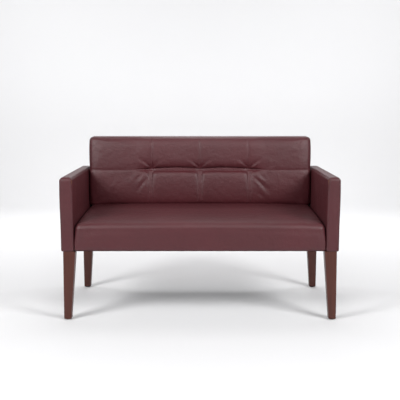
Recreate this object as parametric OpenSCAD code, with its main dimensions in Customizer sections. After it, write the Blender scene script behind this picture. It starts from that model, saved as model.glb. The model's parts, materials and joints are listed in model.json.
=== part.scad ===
// Two-seat upholstered sofa on four tapered wooden legs.
// Two end frames, each with its two legs inside the arm, carry a seat unit and a tufted back unit.
// It faces -Y, +Z is up, and the origin lies on the floor below the middle of the sofa.

/* [Overall] */
// Width over the arms
sofa_w = 1300; // [1100:10:1600]
// Depth from the arm fronts to the rear feet
sofa_d = 625; // [560:5:720]
// Height of the top of the back
sofa_h = 839; // [790:1:950]
// Height of the arm tops
arm_h = 678; // [600:1:720]
// Height of the lower edge of the upholstery
clear_h = 330; // [280:5:360]
// Thickness of the seat at its front edge
seat_t = 133; // [118:1:150]

/* [Legs] */
// Width of a leg where it leaves the upholstery
leg_w = 57; // [50:1:66]
// Width of the shoulder on a leg's inner side, by which its post is narrower
shoulder_w = 12; // [8:1:16]
// Fall of the shoulder towards its edge
shoulder_fall = 1.5; // [1:0.5:3]
// Depth of a leg there, and of its post
leg_d = 50; // [42:1:60]
// Width and depth of a foot
foot_w = 34.5; // [30:0.5:42]
// How far a foot stands out beyond the outer side of its post
foot_out = 3.5; // [0.5:0.5:6]
// Radius of the long edges of a leg
leg_r = 3; // [2:0.5:5]
// Chamfer round the foot
foot_ease = 2; // [1:0.5:4]
// How far the arms end in front of the rear feet
rear_rake = 5; // [0:1:20]
// Diameter of a glide
glide_dia = 24; // [20:1:28]
// Thickness of a glide
glide_t = 4; // [3:0.5:8]
// Diameter of a glide's nail
glide_nail_dia = 3; // [2:0.5:4]
// Length of a glide's nail
glide_nail_len = 18; // [12:1:25]

/* [Upholstery] */
// Thickness of the leather
leather_t = 1.5; // [1:0.1:2]
// Thickness of the wadding on the inner sides, fronts and ends of the arms
wadding_t = 2; // [1.5:0.5:4]
// Thickness of the wadding on the outer sides of the arms
outer_wadding_t = 6; // [3:0.5:9]
// Foam on top of the arms
arm_foam_t = 12; // [8:1:18]
// Radius of the arms' top edges
arm_top_r = 16; // [12:1:18]
// Radius of the arms' upright edges
arm_edge_r = 10; // [7:0.5:12]
// Turn-under of the seat leather below its rails
seat_flange = 20; // [12:1:30]
// Foam on the front rail
front_foam_t = 13; // [8:1:20]
// Radius of the seat's top edge
seat_edge_r = 24; // [16:1:32]
// Radius of the back's front edge
back_edge_r = 18; // [12:1:26]
// Foam on the back's top rail
top_foam_t = 16; // [8:1:20]
// Thickness of the dust covers
dust_t = 0.8; // [0.5:0.1:1.5]

/* [Seat] */
// Rise of the seat from its front edge to the back
seat_rise = 25; // [10:1:30]
// Drop of the seat towards the arms
seat_side_drop = 9; // [4:1:16]
// How far the seat front stands behind the arm fronts
seat_inset = 5; // [2:1:12]
// How much further forward it comes in the middle
front_bulge = 4; // [1:0.5:6]
// How far the seat's lower edge lies above the arms' lower edge
seat_lift = 2; // [1.5:0.5:6]
// Thickness of a seat rail
seat_rail_t = 25; // [22:1:30]
// Height of a seat rail
seat_rail_h = 66; // [58:1:74]
// How far the centre rail lies below the webbing
centre_drop = 14; // [8:1:20]
// Width of a seat strap
seat_strap_w = 60; // [50:1:75]
// Room for each strap
seat_strap_pitch = 120; // [100:1:140]
// Thickness of the webbing
strap_t = 2; // [1.5:0.5:3]
// Leg of a corner block
block_leg = 58; // [50:1:70]
// Height of a corner block
block_h = 45; // [35:1:52]

/* [Back] */
// Lean of the back's face over its height
back_lean = 40; // [20:1:60]
// Thickness of the back at the seat
back_t = 160; // [145:1:180]
// Distance between the tufts
tuft_pitch = 258; // [220:1:290]
// Depth of a tuft
tuft_dip = 26; // [15:1:32]
// Reach of a tuft's fold
tuft_reach = 46; // [30:1:60]
// Depth of the cross seam
seam_dip = 9; // [4:1:12]
// Depth of the upright seams
rib_dip = 4; // [2:1:6]
// Reach of a seam's roll
seam_reach = 26; // [18:1:34]
// How far the seams draw in the back's outline
rim_dip = 3; // [1:0.5:5]
// Crown of the back cushion
back_crown = 9; // [4:1:14]
// Depth of the back frame
back_frame_d = 40; // [34:1:48]
// Width of a back stile
stile_w = 45; // [38:1:55]
// Height of the top rail and of the two low rails
back_rail_h = 44; // [36:1:52]
// Height of the tuft rail
tuft_rail_h = 60; // [44:1:70]
// Thickness of the tuft rail
tuft_rail_t = 22; // [18:1:28]
// Width of a back strap
back_strap_w = 50; // [40:1:60]
// How far the outside back lies in front of the arm ends
back_inset = 8; // [4:1:16]
// Diameter of the tuft twine
twine_dia = 2.5; // [2:0.5:4]
// Diameter of the foam's tuft holes
tuft_hole_dia = 16; // [10:1:24]

/* [Arm frames] */
// Thickness of the arm's top rail
arm_rail_t = 28; // [22:1:34]
// Thickness of the arm's side rail
side_rail_t = 30; // [25:1:36]
// Height of the arm's side rail
side_rail_h = 60; // [50:1:70]
// Thickness of the boards
board_t = 2.5; // [2:0.5:4]

/* [Joints and fasteners] */
// Diameter of the dowels
dowel_dia = 8; // [6:0.5:10]
// Length of the dowels
dowel_len = 36; // [30:1:40]
// Distance between a pair of dowels
dowel_gap = 26; // [20:1:30]
// Diameter of the unit bolts
bolt_dia = 8; // [6:0.5:8]
// Diameter of a bolt's head
bolt_head_dia = 13; // [12:0.5:15]
// Height of a bolt's head
bolt_head_h = 8; // [6:0.5:9]
// Width across flats of the bolt's socket
socket_af = 6; // [4:0.5:7]
// Depth of the bolt's socket
socket_depth = 4; // [3:0.5:5]
// Diameter of a washer
washer_dia = 24; // [20:1:28]
// Thickness of a washer
washer_t = 2; // [1.5:0.5:3]
// Diameter of a threaded insert
insert_dia = 12; // [11:0.5:14]
// Length of a threaded insert
insert_len = 18; // [14:1:22]
// Room between a seat bolt's washer and the corner block beside it
bolt_margin = 28; // [5:1:50]
// Diameter of a wood screw's shank
screw_dia = 4.5; // [4:0.5:6]
// Diameter of a wood screw's head
screw_head_dia = 9; // [8:0.5:11]
// Height of a wood screw's head
screw_head_h = 3; // [2.5:0.5:4]
// Length of a block screw in its rail
block_screw_bite = 16; // [12:1:20]
// Length of a back screw in its rail
back_screw_bite = 18; // [14:1:21]

/* [Clearances] */
// Gap between leather and what it covers
fit_gap = 0.3; // [0.2:0.05:0.5]
// Gap between the units
unit_gap = 1.5; // [1:0.1:2.5]
// Radial clearance of dowels, nails and screws
bore_gap = 0.1; // [0.05:0.05:0.2]
// Radial clearance of a bolt in its hole
bolt_gap = 0.5; // [0.3:0.1:1]

/* [Hidden] */

// Colours
leather_colour = "#5a3236";
wood_colour = "#4a2a24";
frame_colour = "#d2b48c";
foam_colour = "#efe6c8";
board_colour = "#8a6a48";
cloth_colour = "#202022";
steel_colour = "#b8bcc0";

// Counts of segments
corner_steps = 3;
back_steps = 2;
round_steps = 3;
seat_steps_x = 10;
seat_steps_y = 4;
arm_steps_y = 4;
tuft_count = 3;
back_screw_count = 4;

// Shares along one panel of the tufted face, closer together beside its seams
panel_shares = [0, 0.07, 0.25, 0.5, 0.75, 0.93];
// Shares of the seat's plan at which its crown has a ring
crown_shares = [0.8, 0.5, 0.2];
// Share of a corner block's leg at which its screws stand
block_screw_share = 0.6;
// Share of the back cushion's height at which the cross seam runs
seam_share = 0.5;
// Share of the cross seam's depth that is gone at its ends
seam_fade_share = 0.7;
// Share of an edge radius that the smallest corner keeps
least_corner_share = 0.12;
// Overrun of every cut past the face that it opens
overrun = 1;

// Planes of the end frames
front_y = -sofa_d / 2;
rear_y = sofa_d / 2;
arm_rear_y = rear_y - rear_rake;
side_pad = leather_t + wadding_t + board_t;
arm_x = sofa_w / 2;
post_x = arm_x - leather_t - outer_wadding_t - board_t;
leg_in_x = post_x - leg_w;
post_in_x = leg_in_x + shoulder_w;
arm_in_x = post_in_x - side_pad;
foot_x = post_x + foot_out;
post_y = front_y + side_pad;
post_rear_y = arm_rear_y - side_pad;
shoulder_z = clear_h - fit_gap;
arm_low_z = clear_h + leather_t + fit_gap;
arm_rail_top_z = arm_h - leather_t - arm_foam_t;
post_top_z = arm_rail_top_z - arm_rail_t;
least_r = least_corner_share * arm_edge_r;

// Planes of the back unit
unit_x = arm_in_x - unit_gap;
frame_x = unit_x - leather_t - fit_gap;
back_rear_y = arm_rear_y - back_inset;
frame_rear_y = back_rear_y - leather_t - board_t - fit_gap;
frame_y = frame_rear_y - back_frame_d;
back_foam_y = frame_y - strap_t;
back_face_y = back_rear_y - back_t;

// Planes of the seat unit
seat_front_y = front_y + seat_inset;
seat_rear_y = frame_y - fit_gap;
seat_low_z = clear_h + seat_lift;
seat_h = seat_low_z + seat_t;
rail_low_z = seat_low_z + leather_t + fit_gap;
rail_top_z = rail_low_z + seat_rail_h;
seat_rail_y = seat_front_y + leather_t + fit_gap + front_foam_t;
seat_rail_rear_y = seat_rear_y - leather_t - fit_gap;
seat_foam_z = rail_top_z + strap_t;
strap_room = 2 * (frame_x - seat_rail_t);
strap_count = round(strap_room / seat_strap_pitch);

// Heights of the back unit
cushion_low_z = seat_h + seat_rise + unit_gap;
frame_top_z = sofa_h - leather_t - fit_gap - top_foam_t;
back_mid_y = (frame_y + frame_rear_y) / 2;
seam_h = cushion_low_z + (sofa_h - cushion_low_z) * seam_share;

// Round holes for the fasteners
bolt_hole_r = bolt_dia / 2 + bolt_gap;
dowel_r = dowel_dia / 2;
dowel_hole_r = dowel_r + bore_gap;
dowel_hole_depth = dowel_len / 2 + bore_gap;
side_rail_z = arm_low_z + side_rail_h / 2;
seat_rail_z = rail_low_z + seat_rail_h / 2;
seat_mid_y = (seat_rail_y + seat_rail_rear_y) / 2;
back_screw_z = rail_low_z + back_rail_h / 2;
tuft_rail_z = seam_h - tuft_rail_h / 2;
block_reach = seat_rail_t + block_leg + bolt_margin + washer_dia / 2;
seat_bolts_y = [seat_rail_y + block_reach, seat_rail_rear_y - block_reach];

// The lower back bolt lies midway between the two low rails, and the upper one midway up to what comes next
back_bolts_z = [
    (rail_low_z + back_rail_h + cushion_low_z) / 2,
    (cushion_low_z + back_rail_h + min(tuft_rail_z, post_top_z)) / 2
];

function reversed(list) = [for (i = [len(list) - 1:-1:0]) list[i]];

function average(points) = [for (p = points) 1] * points / len(points);

function arc(x, y, r, start, steps = corner_steps) = [for (i = [0:steps])
    [x + r * cos(start + 90 * i / steps), y + r * sin(start + 90 * i / steps)]];

function between(a, b, steps) = steps < 2 ? [] : [for (i = [1:steps - 1]) a + (b - a) * i / steps];

// A rounded rectangle, counter-clockwise from above
function plan(x0, x1, y0, y1, r, steps_x = 1, steps_y = 1) =
    let (
        a = arc(x1 - r, y0 + r, r, -90),
        b = arc(x1 - r, y1 - r, r, 0),
        c = arc(x0 + r, y1 - r, r, 90),
        d = arc(x0 + r, y0 + r, r, 180),
        last = corner_steps
    )
    concat(
        a, between(a[last], b[0], steps_y), b, between(b[last], c[0], steps_x),
        c, between(c[last], d[0], steps_y), d, between(d[last], a[0], steps_x)
    );

function lifted(outline, z) = [for (p = outline) [p[0], p[1], z]];

// Two faces between two points of one row and the two above them, split along either diagonal
function quad(a, b, c, d, turned) = turned ? [[a, d, b], [b, d, c]] : [[a, d, c], [a, c, b]];

// A closed solid through rings of as many points each, with a fan over each end.
// The first bands can be split the other way, so that the inside of a tray runs along what it covers.
module skin(rings, turned = 0) {
    n = len(rings[0]);
    m = len(rings);
    points = concat([for (ring = rings) each ring], [average(rings[0]), average(rings[m - 1])]);
    walls = [for (i = [0:m - 2], j = [0:n - 1]) let (k = (j + 1) % n)
        each quad(i * n + j, i * n + k, (i + 1) * n + k, (i + 1) * n + j, i < turned)];
    start = [for (j = [0:n - 1]) [m * n, j, (j + 1) % n]];
    end = [for (j = [0:n - 1]) [m * n + 1, (m - 1) * n + (j + 1) % n, (m - 1) * n + j]];
    polyhedron(points, concat(walls, start, end));
}

// A skin that is open below: up the inside to its top, and down the outside
module tray(outside, inside, turn) {
    skin(concat(reversed(inside), turn, outside), len(inside) - 1);
}

module box(x0, x1, y0, y1, z0, z1) {
    translate([x0, y0, z0]) cube([x1 - x0, y1 - y0, z1 - z0]);
}

// A cylinder along X, Y or Z that starts at a point
module rod_x(p, r, length) {
    translate(p) rotate([0, 90, 0]) cylinder(r = r, h = length, $fn = 32);
}

module rod_y(p, r, length) {
    translate(p) rotate([-90, 0, 0]) cylinder(r = r, h = length, $fn = 32);
}

module rod_z(p, r, length) {
    translate(p) cylinder(r = r, h = length, $fn = 32);
}

// Both arms come from the right one
module on_side(side) {
    mirror([side == "left" ? 1 : 0, 0, 0]) children();
}

// Legs and their posts

// Places of the dowels in the top of a post, about the post's middle
module post_top_dowels(mid_y, r, length, z) {
    for (s = [-1, 1])
        rod_z([(post_in_x + post_x) / 2, mid_y + s * dowel_gap / 2, z], r, length);
}

// Places of the dowels between the side rail and one post
module side_rail_dowels(y, r, length) {
    for (s = [-1, 1])
        rod_y([post_in_x + side_rail_t / 2, y, side_rail_z + s * dowel_gap / 2], r, length);
}

function foot_plan(y0, ease) = plan(
    foot_x - foot_w + ease, foot_x - ease, y0 + ease, y0 + foot_w - ease, leg_r);

// Above the shoulder the post is narrower, and leaves room for the arm's padding and the seat's edge

function leg_rings(foot_y, top_y) = [
    lifted(foot_plan(foot_y, foot_ease), glide_t),
    lifted(foot_plan(foot_y, 0), glide_t + foot_ease),
    lifted(plan(leg_in_x, post_x, top_y, top_y + leg_d, leg_r), shoulder_z - shoulder_fall),
    lifted(plan(post_in_x, post_x, top_y, top_y + leg_d, leg_r), shoulder_z),
    lifted(plan(post_in_x, post_x, top_y, top_y + leg_d, leg_r), post_top_z)
];

module leg(foot_y, top_y) {
    color(wood_colour) difference() {
        skin(leg_rings(foot_y, top_y));
        rod_z([foot_x - foot_w / 2, foot_y + foot_w / 2, glide_t - overrun],
            glide_nail_dia / 2 + bore_gap, glide_nail_len + overrun + bore_gap);
        post_top_dowels(top_y + leg_d / 2, dowel_hole_r, dowel_hole_depth + overrun,
            post_top_z - dowel_hole_depth);
        children();
    }
}

module front_leg() {
    leg(post_y, post_y)
        side_rail_dowels(post_y + leg_d - dowel_hole_depth, dowel_hole_r, dowel_hole_depth + overrun);
}

module rear_leg() {
    leg(rear_y - foot_w, post_rear_y - leg_d) {
        union() {
            side_rail_dowels(post_rear_y - leg_d - overrun, dowel_hole_r, dowel_hole_depth + overrun);
            for (z = back_bolts_z)
                rod_x([post_in_x - overrun, back_mid_y, z],
                    insert_dia / 2 + bore_gap, insert_len + overrun + bolt_dia);
        }
    }
}

module glide() {
    rotate_extrude($fn = 48) polygon([
        [0, 0],
        [glide_dia / 2 - glide_t / 2, 0],
        for (a = [-75:15:0]) [
            glide_dia / 2 - glide_t / 2 + glide_t / 2 * cos(a),
            glide_t / 2 + glide_t / 2 * sin(a)
        ],
        [glide_dia / 2, glide_t],
        [glide_nail_dia / 2, glide_t],
        [glide_nail_dia / 2, glide_t + glide_nail_len - glide_nail_dia],
        [0, glide_t + glide_nail_len]
    ]);
}

module glides() {
    color(cloth_colour) for (side = ["left", "right"], y = [post_y, rear_y - foot_w])
        on_side(side) translate([foot_x - foot_w / 2, y + foot_w / 2, 0]) glide();
}

// The rest of an end frame

module side_rail() {
    y0 = post_y + leg_d;
    y1 = post_rear_y - leg_d;
    color(frame_colour) difference() {
        box(post_in_x, post_in_x + side_rail_t, y0, y1, arm_low_z, arm_low_z + side_rail_h);
        side_rail_dowels(y0 - overrun, dowel_hole_r, dowel_hole_depth + overrun);
        side_rail_dowels(y1 - dowel_hole_depth, dowel_hole_r, dowel_hole_depth + overrun);
        for (y = seat_bolts_y)
            rod_x([post_in_x - overrun, y, side_rail_z],
                insert_dia / 2 + bore_gap, side_rail_t + 2 * overrun);
    }
}

module arm_rail() {
    color(frame_colour) difference() {
        translate([0, 0, post_top_z]) linear_extrude(arm_rail_t)
            polygon(plan(post_in_x, post_x, post_y, post_rear_y, leg_r));
        for (y = [post_y + leg_d / 2, post_rear_y - leg_d / 2])
            post_top_dowels(y, dowel_hole_r, dowel_hole_depth + overrun, post_top_z - overrun);
    }
}

module arm_boards() {
    color(board_colour) {
        for (x = [post_in_x - board_t, post_x]) difference() {
            box(x, x + board_t, post_y + leg_r, post_rear_y - leg_r, arm_low_z, arm_rail_top_z);
            if (x < post_in_x) unit_bolt_holes();
        }
    }
}

module arm_dowels() {
    color(frame_colour) {
        for (y = [post_y + leg_d / 2, post_rear_y - leg_d / 2])
            post_top_dowels(y, dowel_r, dowel_len, post_top_z - dowel_len / 2);
        for (y = [post_y + leg_d, post_rear_y - leg_d])
            side_rail_dowels(y - dowel_len / 2, dowel_r, dowel_len);
    }
}

// Rings of the arm at a distance inside its leather's outer face, from the lower edge to the top
function arm_plan(off, inset) = plan(
    arm_in_x + off + inset, arm_x - off - inset, front_y + off + inset, arm_rear_y - off - inset,
    max(arm_edge_r - off - inset, least_r), 1, arm_steps_y);

function arm_rings(off, low_z) = concat(
    [lifted(arm_plan(off, 0), low_z)],
    [for (i = [0:round_steps]) let (a = 90 * i / round_steps, r = arm_top_r - off)
        lifted(arm_plan(off, r * (1 - cos(a))), arm_h - arm_top_r + r * sin(a))]
);

module arm_padding() {
    inside = plan(post_in_x - board_t, post_x + board_t, post_y, post_rear_y, leg_r, 1, arm_steps_y);
    color(foam_colour) difference() {
        tray(
            arm_rings(leather_t + fit_gap, arm_low_z),
            [lifted(inside, arm_low_z), lifted(inside, arm_rail_top_z)],
            []
        );
        unit_bolt_holes();
    }
}

module arm_cover() {
    turned_in = plan(post_in_x - fit_gap, post_x + fit_gap, post_y - fit_gap, post_rear_y + fit_gap,
        max(arm_edge_r - side_pad, least_r), 1, arm_steps_y);
    color(leather_colour) difference() {
        tray(
            arm_rings(0, clear_h),
            arm_rings(leather_t, clear_h + leather_t),
            [lifted(turned_in, clear_h + leather_t), lifted(turned_in, clear_h)]
        );
        unit_bolt_holes();
    }
}

// Seat frame

// The room inside the seat's leather, between two heights
module seat_block(z0, z1) {
    translate([0, 0, z0]) linear_extrude(z1 - z0) polygon(seat_plan(leather_t + fit_gap, 0));
}

module seat_rail_dowels(x, y, r, length) {
    for (s = [-1, 1])
        rod_y([x, y, seat_rail_z + s * dowel_gap / 2], r, length);
}

end_rail_x = frame_x - seat_rail_t / 2;

module seat_long_rail(y0) {
    inner_y = y0 < seat_mid_y ? y0 + seat_rail_t : y0;
    start_y = y0 < seat_mid_y ? inner_y - dowel_hole_depth : inner_y - overrun;
    color(frame_colour) difference() {
        intersection() {
            box(-frame_x, frame_x, y0, y0 + seat_rail_t, rail_low_z, rail_top_z);
            seat_block(rail_low_z, rail_top_z);
        }
        for (x = [-end_rail_x, 0, end_rail_x])
            seat_rail_dowels(x, start_y, dowel_hole_r, dowel_hole_depth + overrun);
        block_screw_holes();
        children();
    }
}

module seat_front_rail() {
    seat_long_rail(seat_rail_y);
}

module seat_rear_rail() {
    seat_long_rail(seat_rail_rear_y - seat_rail_t) back_screw_holes(screw_dia / 2 + bore_gap);
}

module cross_rail(x, top_z) {
    y0 = seat_rail_y + seat_rail_t;
    y1 = seat_rail_rear_y - seat_rail_t;
    difference() {
        box(x - seat_rail_t / 2, x + seat_rail_t / 2, y0, y1, rail_low_z, top_z);
        seat_rail_dowels(x, y0 - overrun, dowel_hole_r, dowel_hole_depth + overrun);
        seat_rail_dowels(x, y1 - dowel_hole_depth, dowel_hole_r, dowel_hole_depth + overrun);
        children();
    }
}

module seat_end_rail() {
    color(frame_colour) cross_rail(end_rail_x, rail_top_z) {
        union() {
            unit_bolt_holes();
            block_screw_holes();
        }
    }
}

module seat_centre_rail() {
    color(frame_colour) cross_rail(0, rail_top_z - centre_drop);
}

module seat_dowels() {
    color(frame_colour) for (x = [-end_rail_x, 0, end_rail_x])
        for (y = [seat_rail_y + seat_rail_t, seat_rail_rear_y - seat_rail_t])
            seat_rail_dowels(x, y - dowel_len / 2, dowel_r, dowel_len);
}

// The four inner corners of the seat frame: place and the direction into the frame
function block_corners() = [for (sx = [-1, 1], sy = [-1, 1]) [
    sx * (frame_x - seat_rail_t),
    sy < 0 ? seat_rail_y + seat_rail_t : seat_rail_rear_y - seat_rail_t,
    -sx, -sy
]];
block_z = seat_rail_z - block_h / 2;
block_screw_at = block_leg * block_screw_share;
block_screw_deep = block_leg - block_screw_at;

// Screws of one corner block, each square to its rail, with the shank or the head that is asked for
module block_screw_set(shank_r, shank_extra, head_r, head_extra) {
    for (c = block_corners()) translate([c[0], c[1], seat_rail_z])
        for (along = [0, 1]) {
            rise = (along == 0 ? 1 : -1) * screw_head_dia;
            reach = block_screw_deep / 2;
            spot = along == 0
                ? [c[2] * block_screw_at, c[3] * reach, rise]
                : [c[2] * reach, c[3] * block_screw_at, rise];
            turn = along == 0 ? [c[3] > 0 ? 90 : -90, 0, 0] : [0, c[2] > 0 ? -90 : 90, 0];
            translate(spot) rotate(turn) {
                cylinder(r = shank_r, h = reach + block_screw_bite + shank_extra, $fn = 24);
                translate([0, 0, -screw_head_h - head_extra])
                    cylinder(r = head_r, h = screw_head_h + head_extra, $fn = 24);
            }
        }
}

module block_screw_holes() {
    block_screw_set(screw_dia / 2 + bore_gap, bore_gap, screw_head_dia / 2 + bore_gap, block_leg);
}

module corner_blocks() {
    color(frame_colour) difference() {
        for (c = block_corners()) translate([c[0], c[1], block_z])
            linear_extrude(block_h) polygon(
                c[2] * c[3] > 0
                    ? [[0, 0], [c[2] * block_leg, 0], [0, c[3] * block_leg]]
                    : [[0, 0], [0, c[3] * block_leg], [c[2] * block_leg, 0]]
            );
        block_screw_holes();
    }
}

module block_screws() {
    color(steel_colour) block_screw_set(screw_dia / 2, 0, screw_head_dia / 2, 0);
}

// Seat springing and upholstery

module seat_webbing() {
    y0 = seat_rail_y;
    y1 = seat_rail_rear_y;
    color(cloth_colour) for (i = [0:strap_count - 1]) {
        x = (i - (strap_count - 1) / 2) * strap_room / strap_count;
        box(x - seat_strap_w / 2, x + seat_strap_w / 2, y0, y1, rail_top_z, rail_top_z + strap_t);
    }
}

function seat_top(x, y) =
    let (s = (y - seat_front_y) / (seat_rear_y - seat_front_y))
    seat_h + seat_rise * (1 - pow(1 - s, 2)) - seat_side_drop * pow(abs(x) / unit_x, 4);

function seat_plan(off, inset) = [
    for (p = plan(
        -unit_x + off + inset, unit_x - off - inset, seat_front_y + off + inset, seat_rear_y - off - inset,
        max(arm_edge_r - off - inset, least_r), seat_steps_x, seat_steps_y))
        [p[0], p[1] - (p[1] < seat_mid_y ? front_bulge * (1 - pow(p[0] / unit_x, 2)) : 0)]
];

function crowned(outline, share, drop) = [for (p = outline)
    let (x = p[0] * share, y = seat_mid_y + (p[1] - seat_mid_y) * share)
    [x, y, seat_top(x, y) - drop]];

// Rings of the seat at a distance inside its leather's outer face, from the lower edge to the crown
function seat_rings(off, low_z) = concat(
    [lifted(seat_plan(off, 0), low_z)],
    [for (i = [0:round_steps]) let (a = 90 * i / round_steps, r = seat_edge_r - off)
        crowned(seat_plan(off, r * (1 - cos(a))), 1, off + r * (1 - sin(a)))],
    [for (share = crown_shares) crowned(seat_plan(off, seat_edge_r - off), share, off)]
);

module seat_foam() {
    color(foam_colour) skin(seat_rings(leather_t + fit_gap, seat_foam_z));
}

module seat_front_pad() {
    color(foam_colour) intersection() {
        seat_block(rail_low_z, seat_foam_z);
        box(-unit_x, unit_x, front_y, seat_rail_y, rail_low_z, seat_foam_z);
    }
}

module seat_cover() {
    color(leather_colour) difference() {
        tray(
            seat_rings(0, seat_low_z),
            seat_rings(leather_t, seat_low_z + leather_t),
            [
                lifted(seat_plan(0, seat_flange), seat_low_z + leather_t),
                lifted(seat_plan(0, seat_flange), seat_low_z)
            ]
        );
        for (side = ["left", "right"]) on_side(side) unit_bolt_holes();
        back_screw_holes(screw_dia / 2 + bolt_gap);
    }
}

module dust_covers() {
    margin = leather_t + leg_r;
    color(cloth_colour) {
        box(-unit_x + margin, unit_x - margin, seat_front_y + margin, back_rear_y - margin,
            seat_low_z - dust_t, seat_low_z);
        for (side = ["left", "right"]) on_side(side)
            box(post_in_x, post_x, post_y + leg_d + fit_gap, post_rear_y - leg_d - fit_gap,
                arm_low_z - dust_t, arm_low_z);
    }
}

// Back frame

// The back's outline from in front, at a distance inside its leather's outer face
function back_outline(off) =
    let (x = unit_x - off, top_z = sofa_h - off, r = back_edge_r - off)
    concat(
        [[-x, seat_low_z + off], [x, seat_low_z + off]],
        arc(x - r, top_z - r, r, 0, back_steps), arc(-x + r, top_z - r, r, 90, back_steps)
    );

// A sheet in that outline, from its rear face forwards
module back_sheet(off, face_y, t) {
    translate([0, face_y, 0]) rotate([90, 0, 0]) linear_extrude(t) polygon(back_outline(off));
}

back_rails_z = [rail_low_z, cushion_low_z, frame_top_z - back_rail_h];

module rail_end_dowels(y, mid_z, r, x0, length) {
    for (s = [-1, 1])
        rod_x([x0, y, mid_z + s * dowel_gap / 2], r, length);
}

// Each rail of the back frame: the middle of its depth and of its height
function back_joints() = concat(
    [for (z = back_rails_z) [back_mid_y, z + back_rail_h / 2]],
    [[frame_y + tuft_rail_t / 2, seam_h]]
);

module back_stile() {
    x0 = frame_x - stile_w;
    color(frame_colour) difference() {
        intersection() {
            box(x0, frame_x, frame_y, frame_rear_y, rail_low_z, frame_top_z);
            back_sheet(leather_t + fit_gap, frame_rear_y, back_frame_d);
        }
        for (j = back_joints())
            rail_end_dowels(j[0], j[1], dowel_hole_r, x0 - overrun, dowel_hole_depth + overrun);
        unit_bolt_holes();
    }
}

module back_rail(z0, height, depth) {
    x1 = frame_x - stile_w;
    y = frame_y + depth / 2;
    color(frame_colour) difference() {
        box(-x1, x1, frame_y, frame_y + depth, z0, z0 + height);
        rail_end_dowels(y, z0 + height / 2, dowel_hole_r, x1 - dowel_hole_depth, dowel_hole_depth + overrun);
        rail_end_dowels(y, z0 + height / 2, dowel_hole_r, -x1 - overrun, dowel_hole_depth + overrun);
        children();
    }
}

module back_dowels() {
    color(frame_colour) for (side = ["left", "right"], j = back_joints()) on_side(side)
        rail_end_dowels(j[0], j[1], dowel_r, frame_x - stile_w - dowel_len / 2, dowel_len);
}

module back_bottom_rail() {
    back_rail(back_rails_z[0], back_rail_h, back_frame_d) back_screw_holes(screw_dia / 2 + bore_gap);
}

module back_lower_rail() {
    back_rail(back_rails_z[1], back_rail_h, back_frame_d);
}

module back_top_rail() {
    back_rail(back_rails_z[2], back_rail_h, back_frame_d);
}

function tuft_x() = [for (i = [0:tuft_count - 1]) (i - (tuft_count - 1) / 2) * tuft_pitch];

module back_tuft_rail() {
    back_rail(tuft_rail_z, tuft_rail_h, tuft_rail_t)
        for (x = tuft_x())
            rod_y([x, frame_y - overrun, seam_h], twine_dia / 2 + bore_gap, tuft_rail_t + 2 * overrun);
}

module back_webbing() {
    edge_x = frame_x - stile_w - back_strap_w;
    outer_x = (tuft_pitch + edge_x) / 2 + back_strap_w / 2;
    color(cloth_colour) for (x = [-outer_x, -tuft_pitch / 2, tuft_pitch / 2, outer_x])
        box(x - back_strap_w / 2, x + back_strap_w / 2, back_foam_y, frame_y,
            cushion_low_z + leather_t + fit_gap, frame_top_z);
}

// Tufted cushion of the back

back_x0 = unit_x - back_edge_r;
panel_edges_x = [-back_x0, for (x = tuft_x()) x, back_x0];
panel_edges_z = [cushion_low_z + back_edge_r, seam_h, sofa_h - back_edge_r];

function spread(edges) = concat(
    [for (i = [0:len(edges) - 2], s = panel_shares) edges[i] + (edges[i + 1] - edges[i]) * s],
    [edges[len(edges) - 1]]
);

grid_x = spread(panel_edges_x);
grid_z = spread(panel_edges_z);
nx = len(grid_x) - 1;
nz = len(grid_z) - 1;

// How far the sewn tufts and seams draw the leather in at one point
function tufts_in(x, z) = max([for (t = tuft_x()) tuft_dip * exp(-norm([x - t, z - seam_h]) / tuft_reach)]);

function seam_in(x, z) =
    seam_dip * exp(-abs(z - seam_h) / seam_reach) * (1 - seam_fade_share * pow(abs(x) / back_x0, 4));

function ribs_in(x) = max([for (t = tuft_x()) rib_dip * exp(-abs(x - t) / seam_reach)]);

function back_crown_at(x, z) =
    let (v = (z - cushion_low_z) / (sofa_h - cushion_low_z) * 2 - 1)
    back_crown * (1 - pow(abs(x) / back_x0, 4)) * max(0, 1 - pow(v, 4));

// How far the seams draw in the outline
function rim_in(x, z) = rim_dip * max(
    exp(-abs(z - seam_h) / seam_reach), max([for (t = tuft_x()) exp(-abs(x - t) / seam_reach)]));

// A point of the cushion, let down towards the arms as far as the seat below it falls
function let_down(x, y, z) =
    [x, y, z - seat_side_drop * pow(abs(x) / unit_x, 4) * max(0, (seam_h - z) / (seam_h - cushion_low_z))];

function face_y(x, z) =
    back_face_y + back_lean * (z - cushion_low_z) / (sofa_h - cushion_low_z)
    - back_crown_at(x, z) + max(tufts_in(x, z), seam_in(x, z), ribs_in(x));

// The points round the face, counter-clockwise from the front, with a few at each corner:
// column, row and the direction out of the face
function side_run(n, f) = [for (i = [1:n - 1]) f(i)];
function corner_run(i, j, start) = [for (p = arc(0, 0, 1, start, back_steps)) [i, j, p[0], p[1]]];
face_rim = concat(
    corner_run(0, 0, 180), side_run(nx, function (i) [i, 0, 0, -1]),
    corner_run(nx, 0, 270), side_run(nz, function (j) [nx, j, 1, 0]),
    corner_run(nx, nz, 0), side_run(nx, function (i) [nx - i, nz, 0, 1]),
    corner_run(0, nz, 90), side_run(nz, function (j) [0, nz - j, -1, 0])
);

function face_grid(off) = [for (z = grid_z, x = grid_x) let_down(x, face_y(x, z) + off, z)];

// A loop round the edge of the cushion, at an angle round its edge radius
function edge_loop(off, a) = [for (p = face_rim)
    let (
        x = grid_x[p[0]], z = grid_z[p[1]], r = back_edge_r - off,
        out = r * sin(a) - rim_in(x, z) * (1 - cos(a))
    )
    let_down(x + p[2] * out, face_y(x, z) + off + r * (1 - cos(a)), z + p[3] * out)];

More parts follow.
